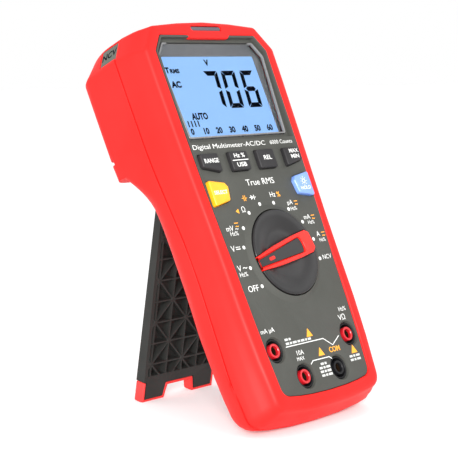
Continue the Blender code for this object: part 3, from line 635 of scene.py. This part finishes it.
panel = {
    "fit": 0.3, "thick": 2.0, "back": -4.0,
    "stepV": 54.5, "stepW": -2.4, "lip": 0.9,
    "lens": ((32.2, 56.8, 1.0), (34.9, 96.0, 1.0), (29.8, 102.9, 1.0)),
    "knobPocket": (20.4, 1.0), "collar": (23.0, 1.6), "hubHole": 6.3, "mouth": (5.9, 0.9), "well": 5.4,
    "keyGap": 0.35, "keyRound": 0.8,
}
jackSpots = {"ma": (-25.2, -41.2, "jackRed"), "volt": (25.2, -41.2, "jackRed"),
             "10a": (-11.6, -54.85, "jackRed"), "com": (11.6, -54.85, "blackAndWellShade")}
keyCorners = {
    # corners on the right half
    "outer": ((22.2, 48.5), (33.2, 48.5), (33.2, 42.4), (22.0, 39.8)),
    "inner": ((3.3, 48.6), (14.8, 48.6), (14.8, 39.8), (3.3, 39.8)),
    "large": ((22.3, 32.6), (23.8, 34.7), (33.4, 36.3), (33.4, 24.5), (23.5, 26.4)),
}
keyShapes = {
    # corners, whether the key is their mirror image, paint, slot
    "range": ("outer", True, "keyGrey", "key_grey"),
    "frequency": ("inner", True, "keyGrey", "key_grey"),
    "relative": ("inner", False, "keyGrey", "key_grey"),
    "max_min": ("outer", False, "keyGrey", "key_grey"),
    "select": ("large", True, "keyYellow", "key_yellow"),
    "hold": ("large", False, "keyBlue", "key_blue"),
}


def keyOutline(name, radius):
    shape, flipped, _, _ = keyShapes[name]
    corners = keyCorners[shape]
    if flipped:
        corners = [(-u, v) for u, v in reversed(corners)]
    return rounded([(*corner, radius) for corner in anticlockwise(list(corners))], 5)


def lensOutline(gap=0.0):
    right = panel["lens"]
    corners = [spot[:2] for spot in right] + [(-spot[0], spot[1]) for spot in reversed(right)]
    return rounded([(u, v, max(0.3, right[0][2] + gap)) for u, v in grown(corners, gap)], 6)


def makePanel():
    outline = grown(windowLine, -panel["fit"])
    front = plate("frontPanel", outline, panel["back"], 0)
    pocket = grown(outline, -panel["lip"])
    pocketTool = plate("pocketTool", [(u, max(v, panel["stepV"])) for u, v in pocket if v > -60],
                       panel["stepW"], 5)
    pocketRadius, pocketDeep = panel["knobPocket"]
    mouthRadius, mouthDeep = panel["mouth"]
    collarRadius, collarHigh = panel["collar"]
    collar = lathe("collar", ((panel["hubHole"], -0.5), (collarRadius, -0.5), (collarRadius, 0.0),
                              (collarRadius - 0.5, 0.12), (pocketRadius + 0.5, collarHigh - 0.12),
                              (pocketRadius + 0.1, collarHigh), (panel["hubHole"], collarHigh)), steps=96)
    merged(front, collar)
    cut(front, pocketTool,
        box("thinTool", -50, 50, -80, panel["stepV"] - 1.6, -9, -panel["thick"]),
        plate("lensTool", lensOutline(panel["fit"]), -9, 5),
        plate("tongueTool", tongueOutline(panel["fit"], 6), shell["tongue"][4] - panel["fit"], 5),
        peg("knobTool", pocketRadius, -pocketDeep, 5, 96), peg("hubTool", panel["hubHole"], -9, 5, 48))
    for u, v, _ in jackSpots.values():
        cut(front, lathe("jackTool", ((0, -9), (panel["well"], -9), (panel["well"], -mouthDeep),
                                      (mouthRadius - 0.25, -mouthDeep), (mouthRadius, 0.2), (mouthRadius, 5),
                                      (0, 5)), u, v, 56))
    for name in keyShapes:
        cut(front, plate("keyTool", grown(keyOutline(name, panel["keyRound"]), panel["keyGap"]), -9, 5))
    settled(bevelled(front, 0.18, 2, 55), "panelGrey", "case", "panel_plastic", ["front_panel"])


keyForm = {"lip": 0.8, "lipLow": -3.1, "lipHigh": -2.3, "top": 2.0, "roll": 0.75, "dish": 0.06}


def makeKeys():
    for name, (_, _, finishName, slotName) in keyShapes.items():
        outline = keyOutline(name, panel["keyRound"])
        top, roll = keyForm["top"], keyForm["roll"]
        rings = [raised(grown(outline, keyForm["lip"]), keyForm["lipLow"]),
                 raised(grown(outline, keyForm["lip"]), keyForm["lipHigh"]),
                 raised(outline, keyForm["lipHigh"]), raised(outline, top - roll)]
        for turn in (20, 45, 70, 90):
            a = math.radians(turn)
            rings.append(raised(grown(outline, -roll * (1 - math.cos(a))), top - roll * (1 - math.sin(a))))
        # the top sinks a little towards its middle
        middle = [tuple(sum(values) / len(outline) for values in zip(*outline))] * len(outline)
        for share, sink in ((0.75, 0.35), (0.45, 0.8), (0.2, 1.0)):
            rings.append(raised(mixed(middle, grown(outline, -roll), share), top - keyForm["dish"] * sink))
        key = loft("key_" + name, rings)
        settled(smoothed(key, 40), finishName, "key_%s_body" % name, slotName, ["key_" + name])


display = {
    "border": (-4.65, -4.35), "glass": (-3.0, -2.7), "edge": (-3.0, -1.5),
    "opening": ((30.9, 57.9), (30.3, 97.2)),
    "screen": (31.2, 57.8, 97.4, -5.0, -4.7),
    "digitLean": 4.0, "digitTall": 18.5, "digitWide": 9.3, "stroke": 2.35,
}


def makeDisplay():
    low, high = display["border"]
    glassLow, glassHigh = display["glass"]
    edgeLow, edgeHigh = display["edge"]
    (openLow, openLowV), (openHigh, openHighV) = display["opening"]
    border = plate("displayBorder", lensOutline(0.5), low, high)
    opening = rounded([(openLow, openLowV, 0.8), (openHigh, openHighV, 0.8), (-openHigh, openHighV, 0.8),
                       (-openLow, openLowV, 0.8)], 5)
    cut(border, plate("openingTool", opening, -9, 5))
    settled(bevelled(border, 0.1, 2, 50), "borderGrey", "case")
    # a lighter ring around the pane, a painted highlight on the lens edge; its top stretch is cut away, where
    # that edge lies in shade
    rim = plate("displayEdgeHighlight", lensOutline(-0.05), edgeLow, edgeHigh)
    cut(rim, plate("rimTool", lensOutline(-0.85), -9, 5), box("topTool", -27, 27, 99, 110, -9, 5))
    settled(bevelled(rim, 0.3, 3, 50), "lensEdgePaintedHighlight", "case")
    glass = plate("displayPane", lensOutline(-0.9), glassLow, glassHigh)
    settled(bevelled(glass, 0.08, 2, 50), "clearPane", "case", "lens_clear", ["display_lens"])
    half, v0, v1, w0, w1 = display["screen"]
    screen = box("displayScreen", -half, half, v0, v1, w0, w1)
    settled(bevelled(screen, 0.08, 2, 50), "displayGlass", "case", "display_glass", ["lcd_module"])


def segmentShapes():
    # the corners of the seven bars of one digit, before it leans
    wide, tall, stroke = display["digitWide"], display["digitTall"], display["stroke"]
    half, mid, cutBack = stroke / 2, tall / 2, 0.14
    near, far = stroke + cutBack * 0.6, wide - stroke - cutBack * 0.6
    bars = {"g": ((cutBack + half, mid), (near, mid - half), (far, mid - half), (wide - cutBack - half, mid),
                  (far, mid + half), (near, mid + half))}
    bars["d"] = ((cutBack + 0.2, 0), (wide - cutBack - 0.2, 0), (wide - stroke - cutBack, stroke),
                  (stroke + cutBack, stroke))
    bars["a"] = tuple((u, tall - v) for u, v in reversed(bars["d"]))
    for left, right, low, high in (("f", "b", mid, tall), ("e", "c", 0, mid)):
        lowCut, highCut = (stroke * 0.9, half) if low == 0 else (half, stroke * 0.9)
        lowTip, highTip = (0.25, 0.15) if low == 0 else (0.15, 0.25)
        bars[left] = ((0, low + cutBack + lowTip), (stroke, low + lowCut + cutBack),
                      (stroke, high - highCut - cutBack), (0, high - cutBack - highTip))
        bars[right] = tuple((wide - u, v) for u, v in reversed(bars[left]))
    return bars


def inkPlate(name, outline, low, thick=0.04):
    return plate(name, anticlockwise(list(outline)), low, low + thick)


def lettering(words, u, v, size, w, wide=1.0, bold=0.0):
    # a text object made a mesh, laid on the face at (u, v); size is the height of a capital
    pick()
    bpy.ops.object.text_add()
    letters = bpy.context.object
    letters.data.body = words
    letters.data.align_x = letters.data.align_y = "CENTER"
    letters.data.size = size / 0.69 * mm
    letters.data.offset = bold * mm
    letters.data.extrude = 0.02 * mm
    letters.data.resolution_u = 3
    bpy.ops.object.convert(target="MESH")
    letters = bpy.context.object
    letters.data.transform(Matrix.Translation(Vector((u, v, w)) * mm) @ Matrix.Diagonal((wide, 1, 1, 1)))
    return letters


readout = {
    # the lit bars of each digit and its left edge
    "digits": (("abc", -7.9), ("abcdef", 3.9), ("acdefg", 16.7)), "digitFoot": 71.6,
    # words, u, v, height of a capital, width, boldness
    "signs": (("V", -2.2, 94.1, 2.7, 1.0, 0.2), ("T", -28.9, 90.6, 2.5, 1.0, 0.2),
              ("RMS", -24.4, 90.2, 1.9, 1.15, 0.13), ("AC", -26.0, 83.7, 2.8, 1.05, 0.2),
              ("AUTO", -18.0, 68.2, 2.9, 0.86, 0.2)),
    # how many, the first u and the step
    "ticks": (4, -26.7, 2.1), "tickHalf": 0.36, "tickHeights": (63.4, 66.4),
    "scale": (7, -25.8, 8.6), "scaleHeight": 61.1, "scaleSize": 2.7,
}


def makeReadout():
    w = display["screen"][4] + 0.03
    lean = math.tan(math.radians(display["digitLean"]))
    shapes = segmentShapes()
    marks = [inkPlate("bar", [(u + x + lean * y, readout["digitFoot"] + y) for x, y in shapes[bar]], w)
             for bars, u in readout["digits"] for bar in bars]
    for words, u, v, size, wide, bold in readout["signs"]:
        marks.append(lettering(words, u, v, size, w, wide, bold))
    count, first, step = readout["ticks"]
    half = readout["tickHalf"]
    for u in (first + step * number for number in range(count)):
        marks.append(inkBox(u - half, u + half, *readout["tickHeights"], w))
    count, first, step = readout["scale"]
    for number in range(count):
        marks.append(lettering(str(number * 10), first + step * number, readout["scaleHeight"],
                               readout["scaleSize"], w, bold=0.17))
    settled(joined("displayDigits", *marks), "displayInk", "case")


prints = {
    "dots": 24.0, "dotCount": 11, "firstDot": 212.6, "dotStep": 22.5, "dotSize": 0.85,
    # words, u, v, height of a capital, width
    "white": (("OFF", -26.0, -13.4, 2.7, 1.0), ("V", -30.4, -3.8, 2.7, 1.0), ("~", -26.9, -3.6, 3.3, 1.1),
              ("Hz%", -29.0, -6.6, 1.9, 1.05), ("V", -30.3, 5.1, 2.7, 1.0), ("mV", -28.2, 14.2, 2.4, 1.0),
              ("~", -23.9, 13.9, 2.6, 1.0), ("Hz%", -26.4, 11.8, 1.9, 1.05), ("Ω", -15.8, 21.9, 2.5, 1.0),
              ("Hz", 6.2, 27.3, 2.4, 1.0), ("µA", 15.9, 22.7, 2.2, 1.0), ("Hz%", 17.3, 19.7, 1.7, 1.0),
              ("mA", 24.2, 14.9, 2.2, 1.0), ("Hz%", 26.0, 12.2, 1.7, 1.0), ("A", 27.9, 6.2, 2.4, 1.0),
              ("Hz%", 29.6, 3.3, 1.7, 1.0), ("NCV", 28.6, -4.9, 2.1, 1.0), ("True RMS", 1.1, 33.9, 2.9, 1.1),
              ("Digital Multimeter-AC/DC", -10.6, 52.1, 2.15, 1.42), ("6000 Counts", 24.4, 52.1, 1.9, 1.1),
              ("VΩ", 24.4, -33.6, 2.5, 1.0), ("Hz%", 26.4, -29.8, 2.0, 1.0),
              ("mA µA", -26.3, -32.4, 2.1, 1.0), ("10A", -10.9, -44.6, 2.1, 1.0),
              ("MAX", -11.5, -47.2, 1.6, 1.0)),
    "orange": (("%", 10.2, 27.1, 2.3), ("~", 20.2, 21.7, 2.4), ("~", 28.5, 14.0, 2.4), ("~", 31.6, 5.4, 2.4),
               ("~", -23.2, 15.0, 2.4), ("COM", 12.2, -46.6, 2.3), ("◄", -19.9, 21.4, 1.6)),
    # u and v of a long or short dash, and the bars over the alternating signs
    "dcDashes": ((-28.4, 4.6, 2.7), (-28.4, 5.5, 0.7), (-27.4, 5.5, 0.7), (-26.4, 5.5, 0.7)),
    "bars": ((20.2, 22.9), (28.5, 15.2), (31.6, 6.6), (-23.2, 16.2)),
    "lines": (((-18.3, -40.9), (7.0, -40.9), (12.0, -44.6), (18.0, -41.2)),
              ((-6.2, -50.6), (-4.3, -49.3), (6.9, -49.3), (8.4, -50.4))),
    "triangles": ((-1.0, -36.9), (2.6, -46.2), (24.8, -48.6)),
    "notices": ((-14.4, -37.8, 6.5), (-8.4, -39.6, 18.5), (2.4, -51.6, 5.0), (2.4, -53.3, 8.2),
                (2.6, -55.0, 8.6), (2.8, -56.7, 8.8), (24.6, -51.6, 8.2), (24.6, -53.3, 8.2)),
    "noticeWords": (2.1, 1.3, 2.6, 1.7, 2.3, 1.2, 2.1, 1.3, 2.6, 1.7),
}


def inkBox(u0, u1, v0, v1, low=0.0):
    return box("mark", u0, u1, v0, v1, low, low + 0.04)


def makePrints():
    w = 0.03
    white, orange, pale = [], [], []
    for number in range(prints["dotCount"]):
        a = math.radians(prints["firstDot"] - prints["dotStep"] * number)
        dot = disc(prints["dotSize"], prints["dots"] * math.cos(a), prints["dots"] * math.sin(a), 20)
        white.append(plate("dot", dot, 0.0, 0.05))
    for words, u, v, size, wide in prints["white"]:
        white.append(lettering(words, u, v, size, w, wide=wide))
    for u, v, wide in prints["dcDashes"]:
        white.append(inkBox(u, u + wide, v, v + 0.42))
    # diode and capacitor signs beside the continuity position
    white.append(inkPlate("diode", ((-8.4, 28.2), (-8.4, 26.0), (-6.6, 27.1)), 0.0))
    white += [inkBox(-6.6, -6.2, 26.0, 28.2), inkBox(-9.4, -5.2, 26.95, 27.25)]
    for plateU, leadU in ((-13.4, -13.4), (-12.4, -11.0)):
        orange += [inkBox(plateU, plateU + 0.4, 25.8, 28.4), inkBox(leadU - 1.0, leadU, 26.95, 27.25)]
    for words, u, v, size in prints["orange"]:
        orange.append(lettering(words, u, v, size, w, bold=0.055))
    orange += [inkBox(u - 1.2, u + 1.2, v, v + 0.4) for u, v in prints["bars"]]
    white += [lineStrip(route, 0.42) for route in prints["lines"]]
    for u, v in prints["triangles"]:
        orange.append(inkPlate("noticeMark", ((u - 2.1, v - 1.8), (u + 2.1, v - 1.8), (u, v + 2.0)), 0.0))
    pale += [noticeLine(*notice) for notice in prints["notices"]]
    settled(joined("panelPrintWhite", *white), "printWhite", "case")
    settled(joined("panelPrintOrange", *orange), "printOrange", "case")
    settled(joined("panelPrintPale", *pale), "printPale", "case")


def lineStrip(route, wide, low=0.0):
    # a printed line with mitred corners
    side = []
    count = len(route)
    for i in range(count):
        a = Vector(route[max(i - 1, 0)])
        b = Vector(route[i])
        c = Vector(route[min(i + 1, count - 1)])
        along = ((b - a).normalized() + (c - b).normalized()).normalized()
        side.append((b, Vector((-along.y, along.x)) * wide / 2))
    outline = [tuple(p - n) for p, n in side] + [tuple(p + n) for p, n in reversed(side)]
    return inkPlate("line", outline, low)


def noticeLine(u, v, wide):
    # small print too fine to read, as a row of word-long dashes
    words = []
    at = u - wide / 2
    for length in prints["noticeWords"]:
        if at + length > u + wide / 2:
            break
        words.append(inkBox(at, at + length, v - 0.5, v + 0.5))
        at += length + 0.6
    return joined("words", *words)


keyPrints = {
    # words, u, v, height of a capital, width
    "range": (("RANGE", -27.5, 44.9, 1.95, 0.98),),
    "frequency": (("Hz %", -9.1, 46.4, 1.95, 1.2), ("USB", -9.1, 42.1, 1.95, 1.3)),
    "relative": (("REL", 9.2, 44.4, 2.05, 1.15),),
    "max_min": (("MAX", 28.4, 46.6, 1.9, 1.1), ("MIN", 28.4, 43.9, 1.9, 1.2)),
    "select": (("SELECT", -28.3, 30.3, 1.6, 1.1),),
    "hold": (("HOLD", 28.4, 28.3, 1.6, 1.1),),
}
keyMarks = {"line": (-14.2, -3.9, 44.1, 44.5),
            "lamp": (28.2, 31.6), "lampRing": (0.7, 1.1), "ray": (1.5, 2.2, 0.15)}


def makeKeyPrints():
    top = keyForm["top"] + 0.03
    low = top - 0.02
    for name, words in keyPrints.items():
        marks = [lettering(text, u, v, size, top, wide=wide, bold=0.04) for text, u, v, size, wide in words]
        if name == "frequency":
            marks.append(inkBox(*keyMarks["line"], low))
        if name == "hold":
            lampU, lampV = keyMarks["lamp"]
            inner, outer = keyMarks["lampRing"]
            high = top + 0.03
            marks.append(lathe("lampRing", ((inner, low), (outer, low), (outer, high), (inner, high)),
                               lampU, lampV, 24))
            near, far, half = keyMarks["ray"]
            for turn in range(8):
                ray = turnedBy(((near, -half), (far, -half), (far, half), (near, half)), 45 * turn)
                marks.append(inkPlate("ray", [(lampU + u, lampV + v) for u, v in ray], low))
        settled(joined("keyPrint_" + name, *marks), "printWhite", "key_%s_body" % name)


knob = {
    "radius": 19.9, "low": -0.7, "high": 2.4, "edge": 0.7, "dish": 0.5, "hub": (6.0, -4.2),
    "leverTurn": 10.6, "leverLow": 0.3, "leverHigh": 2.9,
    "lever": ((-19.5, 3.3), (-6.0, 4.7), (8.0, 5.4), (17.0, 5.4), (19.3, 3.8)),
    "inlay": ((-19.1, 1.6), (12.4, 3.5)), "inlayLow": 1.3, "inlayHigh": 2.1,
    "pointer": (-12.4, -8.6, -0.75, 0.75, 0.6),
}


def leverOutline(gap):
    side = knob["lever"]
    outline = [(u, -half) for u, half in side] + [(u, half) for u, half in reversed(side)]
    return grown(turnedBy(outline, knob["leverTurn"]), gap)


def inlayOutline(gap, tip, steps=10):
    # straight sides, closed at the wide end by a shallow arc
    (_, narrow), (wideU, wide) = knob["inlay"]
    turns = [math.pi * (i / steps - 0.5) for i in range(steps + 1)]
    arc = [(wideU + gap + 1.6 * (math.cos(a) - 1), (wide + gap) * math.sin(a)) for a in turns]
    return turnedBy([(tip, narrow + gap), (tip, -narrow - gap)] + arc, knob["leverTurn"])


def makeKnob():
    r, low, high, edge, dish = (knob[key] for key in ("radius", "low", "high", "edge", "dish"))
    hubRadius, hubLow = knob["hub"]
    profile = [(0, hubLow), (hubRadius, hubLow), (hubRadius, low), (r - 0.2, low), (r, low + 0.2)]
    for turn in (0, 30, 60, 90):
        a = math.radians(turn)
        profile.append((r - edge * (1 - math.cos(a)), high - edge * (1 - math.sin(a))))
    for step in range(9):
        share = step / 8
        profile.append((r - edge - 0.9 - 8.5 * share, ease(share, 0, 1, high, dish)))
    profile.append((0, dish))
    body = lathe("selectorKnob", profile, steps=96)
    cut(body, plate("leverTool", leverOutline(0.3), 0, 9))
    settled(bevelled(body, 0.12, 2, 60), "knobGrey", "selector", "knob_grey", ["selector_knob"])
    lever = plate("knobLever", leverOutline(0), knob["leverLow"], knob["leverHigh"])
    cut(lever, plate("inlayTool", inlayOutline(0.25, knob["inlay"][0][0] - 9), knob["inlayLow"] - 0.3, 9))
    settled(bevelled(lever, 0.45, 4, 45), "knobRed", "selector", "knob_red", ["knob_lever"])
    inlay = plate("knobInlay", inlayOutline(0, knob["inlay"][0][0]), knob["inlayLow"], knob["inlayHigh"])
    settled(bevelled(inlay, 0.15, 2, 45), "knobGrey", "selector", "knob_grey", ["knob_inlay"])
    pointer = turnedBy(roundedBox(*knob["pointer"], 5), knob["leverTurn"])
    mark = plate("knobPointer", pointer, knob["inlayHigh"] - 0.1, knob["inlayHigh"] + 0.18)
    settled(bevelled(mark, 0.12, 2, 45), "knobRed", "selector", "knob_red")


jackForm = {"well": (4.4, 5.1), "sleeve": (2.1, 3.2), "bore": 2.75, "deep": -23.0, "mouth": 0.9}


def makeJacks():
    wellIn, wellOut = jackForm["well"]
    lip, sleeveOut = jackForm["sleeve"]
    deep, floor, top = jackForm["deep"], jackForm["deep"] + 1.5, -jackForm["mouth"]
    for name, (u, v, colour) in jackSpots.items():
        # the housing's near-black lining of each well is painted shade inside it
        housing = lathe("jackHousing_" + name,
                        ((wellIn, top - 0.15), (wellIn + 0.15, top), (wellOut - 0.15, top),
                         (wellOut, top - 0.15), (wellOut, deep), (0, deep), (0, floor), (wellIn, floor)),
                        u, v, 56)
        settled(housing, "blackAndWellShade", "case", "black_plastic", ["jack_housing_" + name])
        base, bore = floor + 0.3, jackForm["bore"]
        sleeve = lathe("jackSleeve_" + name,
                       ((lip, -0.65), (lip + 0.2, -0.42), (sleeveOut - 0.3, -0.4), (sleeveOut - 0.08, -0.5),
                        (sleeveOut, -0.8), (sleeveOut, base), (bore, base), (bore, -2.0), (lip, -2.0)),
                       u, v, 56)
        slotName = "jack_red" if colour == "jackRed" else "black_plastic"
        settled(sleeve, colour, "case", slotName, ["jack_sleeve_" + name])


def makeIndicatorAndSensor():
    lens = plate("indicatorLens", indicatorOutline(0), -4, shell["rimUpper"] - 0.5)
    settled(bevelled(lens, 0.25, 3, 45), "smokeLens", "case", "smoke_lens", ["indicator_lens"])
    cover = plate("sensorCover", sensorOutline(0.3, 0.5), sensor["low"] + 0.3, sensor["high"] - 0.3)
    settled(bevelled(cover, 0.15, 2, 45), "coverGrey", "case", "panel_plastic", ["ncv_sensor_cover"])
    # its lettering reads along the depth of the case
    a, b = (Vector(spot) for spot in sensor["ends"])
    along = (b - a).normalized()
    face = (a + b) / 2 + Vector((-along.y, along.x)) * (sensor["face"] + 0.02)
    turn = Matrix(((0, along.x, -along.y), (0, along.y, along.x), (1, 0, 0))).to_4x4()
    words = lettering("NCV", 0, 0, 3.5, 0.0, wide=0.95, bold=0.08)
    middle = Vector((*face, (sensor["low"] + sensor["high"]) / 2)) * mm
    words.data.transform(Matrix.Translation(middle) @ turn)
    settled(joined("coverPrint", words), "displayInk", "case")


stand = {
    "long": 109.6, "half": 23.8, "back": -2.6, "topThick": 3.7, "footThick": 5.5, "barrel": 3.2,
    "pin": 1.5, "reach": 4.0, "notch": (7.8, 9.6, 6.5), "trimLong": 10.0, "trimThick": 1.3, "gap": 0.3,
    "pitch": 10.15, "rib": 0.75, "wall": 1.6, "skin": 1.4, "ribTop": -11.0, "ribFoot": -97.2, "node": -50.5,
    "boss": 1.25, "leastPocket": 9,
}


def standInner(v):
    share = -v / stand["long"]
    return stand["back"] + stand["topThick"] + (stand["footThick"] - stand["topThick"]) * share


def clipped(outline, axis, limit, keepBelow):
    # cuts a convex outline with a line of constant u or v
    out = []
    sign = 1 if keepBelow else -1
    for a, b in zip(outline, outline[1:] + outline[:1]):
        da, db = sign * (limit - a[axis]), sign * (limit - b[axis])
        if da >= 0:
            out.append(a)
        if (da > 0) != (db > 0) and da != db:
            share = da / (da - db)
            out.append((a[0] + (b[0] - a[0]) * share, a[1] + (b[1] - a[1]) * share))
    return out


def ribPockets():
    # each square of the grid is split by a diagonal, so that eight ribs meet at every other crossing
    half, pitch = stand["half"] - stand["wall"], stand["pitch"]
    sides = ((0, half, True), (0, -half, False), (1, stand["ribTop"], True), (1, stand["ribFoot"], False))
    pockets = []
    for row in range(-5, 5):
        v0 = stand["node"] + row * pitch
        for column in range(-3, 3):
            u0 = column * pitch
            corners = [(u0, v0), (u0 + pitch, v0), (u0 + pitch, v0 + pitch), (u0, v0 + pitch)]
            for picked in ((0, 1, 2), (0, 2, 3)) if (row + column) % 2 == 0 else ((0, 1, 3), (1, 2, 3)):
                shape = [corners[i] for i in picked]
                for side in sides:
                    shape = clipped(shape, *side) if shape else []
                if len(shape) > 2 and areaOf(shape) >= stand["leastPocket"]:
                    pockets.append(grown(shape, -stand["rib"] / 2))
    return pockets


def footOutline(shrink, low, high):
    top, bottom, rise = stand["notch"]
    half = stand["half"] - shrink
    peak = -stand["long"] + rise + shrink
    slope = (bottom - top) / rise
    near = bottom + shrink - slope * (low + stand["long"])
    return ((-half, low), (-near, low), (-top - shrink, peak), (top + shrink, peak), (near, low), (half, low),
            (half, high), (-half, high))


def makeStand():
    half, back = stand["half"], stand["back"]
    foot = -stand["long"] + stand["trimLong"]
    rings = [[(u, v, back), (u2, v, back), (u2, v, standInner(v)), (u, v, standInner(v))]
             for v, u, u2 in ((foot, -half, half), (0, -half, half))]
    body = loft("tiltStand", rings)
    shrink = stand["trimThick"] + stand["gap"]
    core = plate("footCore", footOutline(shrink, -stand["long"] + shrink, foot + 4), back + shrink,
                 standInner(-stand["long"]))
    barrel = peg("barrel", stand["barrel"], -half, half, 40)
    pin = peg("pin", stand["pin"], -half - stand["reach"], half + stand["reach"], 28)
    for piece in (barrel, pin):
        piece.data.transform(Matrix.Rotation(math.pi / 2, 4, "Y"))
    merged(body, core, barrel, pin)
    floor = back + stand["skin"]
    tools = [plate("pocket", shape, floor, 9) for shape in ribPockets()]
    cut(body, joined("pockets", *tools))
    settled(bevelled(body, 0.2, 2, 50), "standPlastic", "stand", "stand_plastic", ["tilt_stand"], standFrame)
    bosses = []
    r = stand["boss"]
    for row in range(-4, 4):
        v = stand["node"] + row * stand["pitch"]
        top = standInner(v) + 0.1
        if stand["ribFoot"] + 2 < v < stand["ribTop"] - 2:
            # one on every other crossing, hollow in the middle
            bosses += [lathe("boss", ((0, floor - 0.2), (r, floor - 0.2), (r, top - 0.25), (r - 0.25, top),
                                      (r * 0.5, top), (r * 0.4, top - 0.6), (0, top - 0.6)),
                             column * stand["pitch"], v, 24)
                       for column in range(-2, 3) if (row + column) % 2 == 0]
    settled(joined("standBosses", *bosses), "standPlastic", "stand", "stand_plastic", (), standFrame)
    inner = standInner(-stand["long"])
    trim = plate("standFootTrim", footOutline(0, -stand["long"], foot - stand["gap"]), back, inner)
    core = plate("trimTool", footOutline(stand["trimThick"], -stand["long"] + stand["trimThick"], foot + 9),
                 back + stand["trimThick"], 20)
    cut(trim, core)
    settled(bevelled(trim, 0.5, 3, 50), "footRubber", "stand", "foot_rubber", ["stand_foot_trim"], standFrame)


screwForm = {"head": 2.4, "shank": 1.1, "long": 7.0, "sunk": 0.2, "drive": (1.35, 0.26, 0.8)}


def makeDoorAndScrews():
    bayHalf, bayLow, bayHigh = shell["bay"]
    _, recessFloor = shell["recess"]
    gap = shell["gap"]
    door = plate("batteryDoor", roundedBox(gap - bayHalf, bayHalf - gap, bayLow + gap, bayHigh - gap, 0.8, 5),
                 recessFloor, recessFloor + shell["wall"])
    cut(door, screwHole("screwTool", *doorScrew))
    for v in range(-30, -20, 2):
        cut(door, box("gripTool", -9, 9, v, v + 1, recessFloor - 2, recessFloor + 0.6))
    settled(bevelled(door, 0.25, 3, 50), "redShell", "case", "red_shell", ["battery_door"])
    spots = {"case_screw_%d" % (i + 1): spot for i, spot in enumerate(caseScrews)}
    spots["door_screw"] = doorScrew
    wide, shank, long = screwForm["head"], screwForm["shank"], screwForm["long"]
    reach, half, deep = screwForm["drive"]
    for name, (u, v, face) in spots.items():
        head = face + screwForm["sunk"]
        screw = lathe("screw_" + name, ((0, head), (wide - 0.7, head), (wide - 0.15, head + 0.15),
                                        (wide, head + 0.4), (wide, head + 1.3), (shank, head + 1.3),
                                        (shank, head + long), (0, head + long)), u, v, 40)
        for degrees in (20, 110):
            bar = turnedBy(((-reach, -half), (reach, -half), (reach, half), (-reach, half)), degrees)
            cut(screw, plate("driveTool", [(u + x, v + y) for x, y in bar], head - 2, head + deep))
        settled(smoothed(screw, 35), "steel", "case", "steel", [name])


makeBezel()
print("bezel made")
makeRearShell()
print("rear shell made")
makePanel()
makeKeys()
makeKeyPrints()
print("panel and keys made")
makeDisplay()
makeReadout()
makePrints()
print("display and prints made")
makeKnob()
makeJacks()
makeIndicatorAndSensor()
print("knob and jacks made")
makeStand()
makeDoorAndScrews()
print("stand, door and screws made")

sceneSettings = {
    "cameraSpot": (-469.26, -88.71, 396.40), "cameraAhead": (0.7327, 0.1738, -0.6580),
    "cameraRight": (0.6746, -0.3137, 0.6683), "lens": 110.33,
    "floorFinish": ((0.92, 0.92, 0.92), (0.93, 0.93, 0.93), 3, 0.8, 0.7, 400, 20, 0.01),
    "lightTarget": (0, 0, 0.08),
    # place, size, power
    "lights": {"keyLight": ((-1.1, -0.9, 0.42), 0.5, 32), "fillLight": ((0.9, -1.0, 0.9), 0.8, 2)},
}


def makeCamera():
    data = bpy.data.cameras.new("view")
    camera = bpy.data.objects.new("view", data)
    bpy.context.scene.collection.objects.link(camera)
    data.sensor_width = 36
    data.lens = sceneSettings["lens"]
    data.clip_start = 0.01
    ahead = (caseTurn @ Vector(sceneSettings["cameraAhead"])).normalized()
    right = (caseTurn @ Vector(sceneSettings["cameraRight"])).normalized()
    up = right.cross(ahead).normalized()
    camera.matrix_world = (Matrix.Translation(caseFrame @ (Vector(sceneSettings["cameraSpot"]) * mm))
                           @ Matrix((right, up, -ahead)).transposed().to_4x4())
    bpy.context.scene.camera = camera


def makeLight(name, spot, size, power):
    data = bpy.data.lights.new(name, "AREA")
    data.size = size
    data.energy = power
    lamp = bpy.data.objects.new(name, data)
    bpy.context.scene.collection.objects.link(lamp)
    lamp.location = spot
    lamp.rotation_mode = "QUATERNION"
    lamp.rotation_quaternion = (Vector(sceneSettings["lightTarget"]) - Vector(spot)).to_track_quat("-Z", "Y")


def makeFloor():
    pick()
    bpy.ops.mesh.primitive_circle_add(vertices=96, radius=12, fill_type="NGON")
    floor = bpy.context.object
    floor.name = "floor"
    white = finish("floorWhite", *sceneSettings["floorFinish"], specular=0.1)
    fill(white.node_tree.nodes["Principled BSDF"], {"Emission Color": (1, 1, 1, 1), "Emission Strength": 0.1})
    floor.data.materials.append(white)


def makeWorld():
    world = bpy.data.worlds.new("studio")
    bpy.context.scene.world = world
    world.use_nodes = True
    fill(world.node_tree.nodes["Background"], {"Color": (1, 1, 1, 1), "Strength": 1.0})
    bpy.context.scene.view_settings.view_transform = "Standard"


makeCamera()
makeWorld()
makeFloor()
for lightName, values in sceneSettings["lights"].items():
    makeLight(lightName, *values)
print("studio made")

# what stays from the CAD inside the case, by the start of its name
insideFinishes = (("main_pcb", "boardGreen"), ("keypad_mat", "silicone"), ("zebra_strip", "silicone"),
                  ("main_ic", "blackAndWellShade"), ("buzzer", "blackAndWellShade"), ("battery_tray", "blackAndWellShade"),
                  ("battery_plate", "steel"), ("detent_spring", "steel"), ("cell_", "cellWrap"),
                  ("jack_contact", "contactBrass"), ("rotor_wiper", "brass"),
                  ("switch_rotor", "whitePlastic"), ("lcd_backlight", "whitePlastic"), ("fuse_", "ceramic"))
for nodeName, thing in frame["nodes"].items():
    if not thing.hide_render:
        name = next(finishName for start, finishName in insideFinishes if nodeName.startswith(start))
        if "_clip_" in nodeName:
            name = "brass"
        thing.data.materials.clear()
        thing.data.materials.append(paint[name])
print("inside finished")
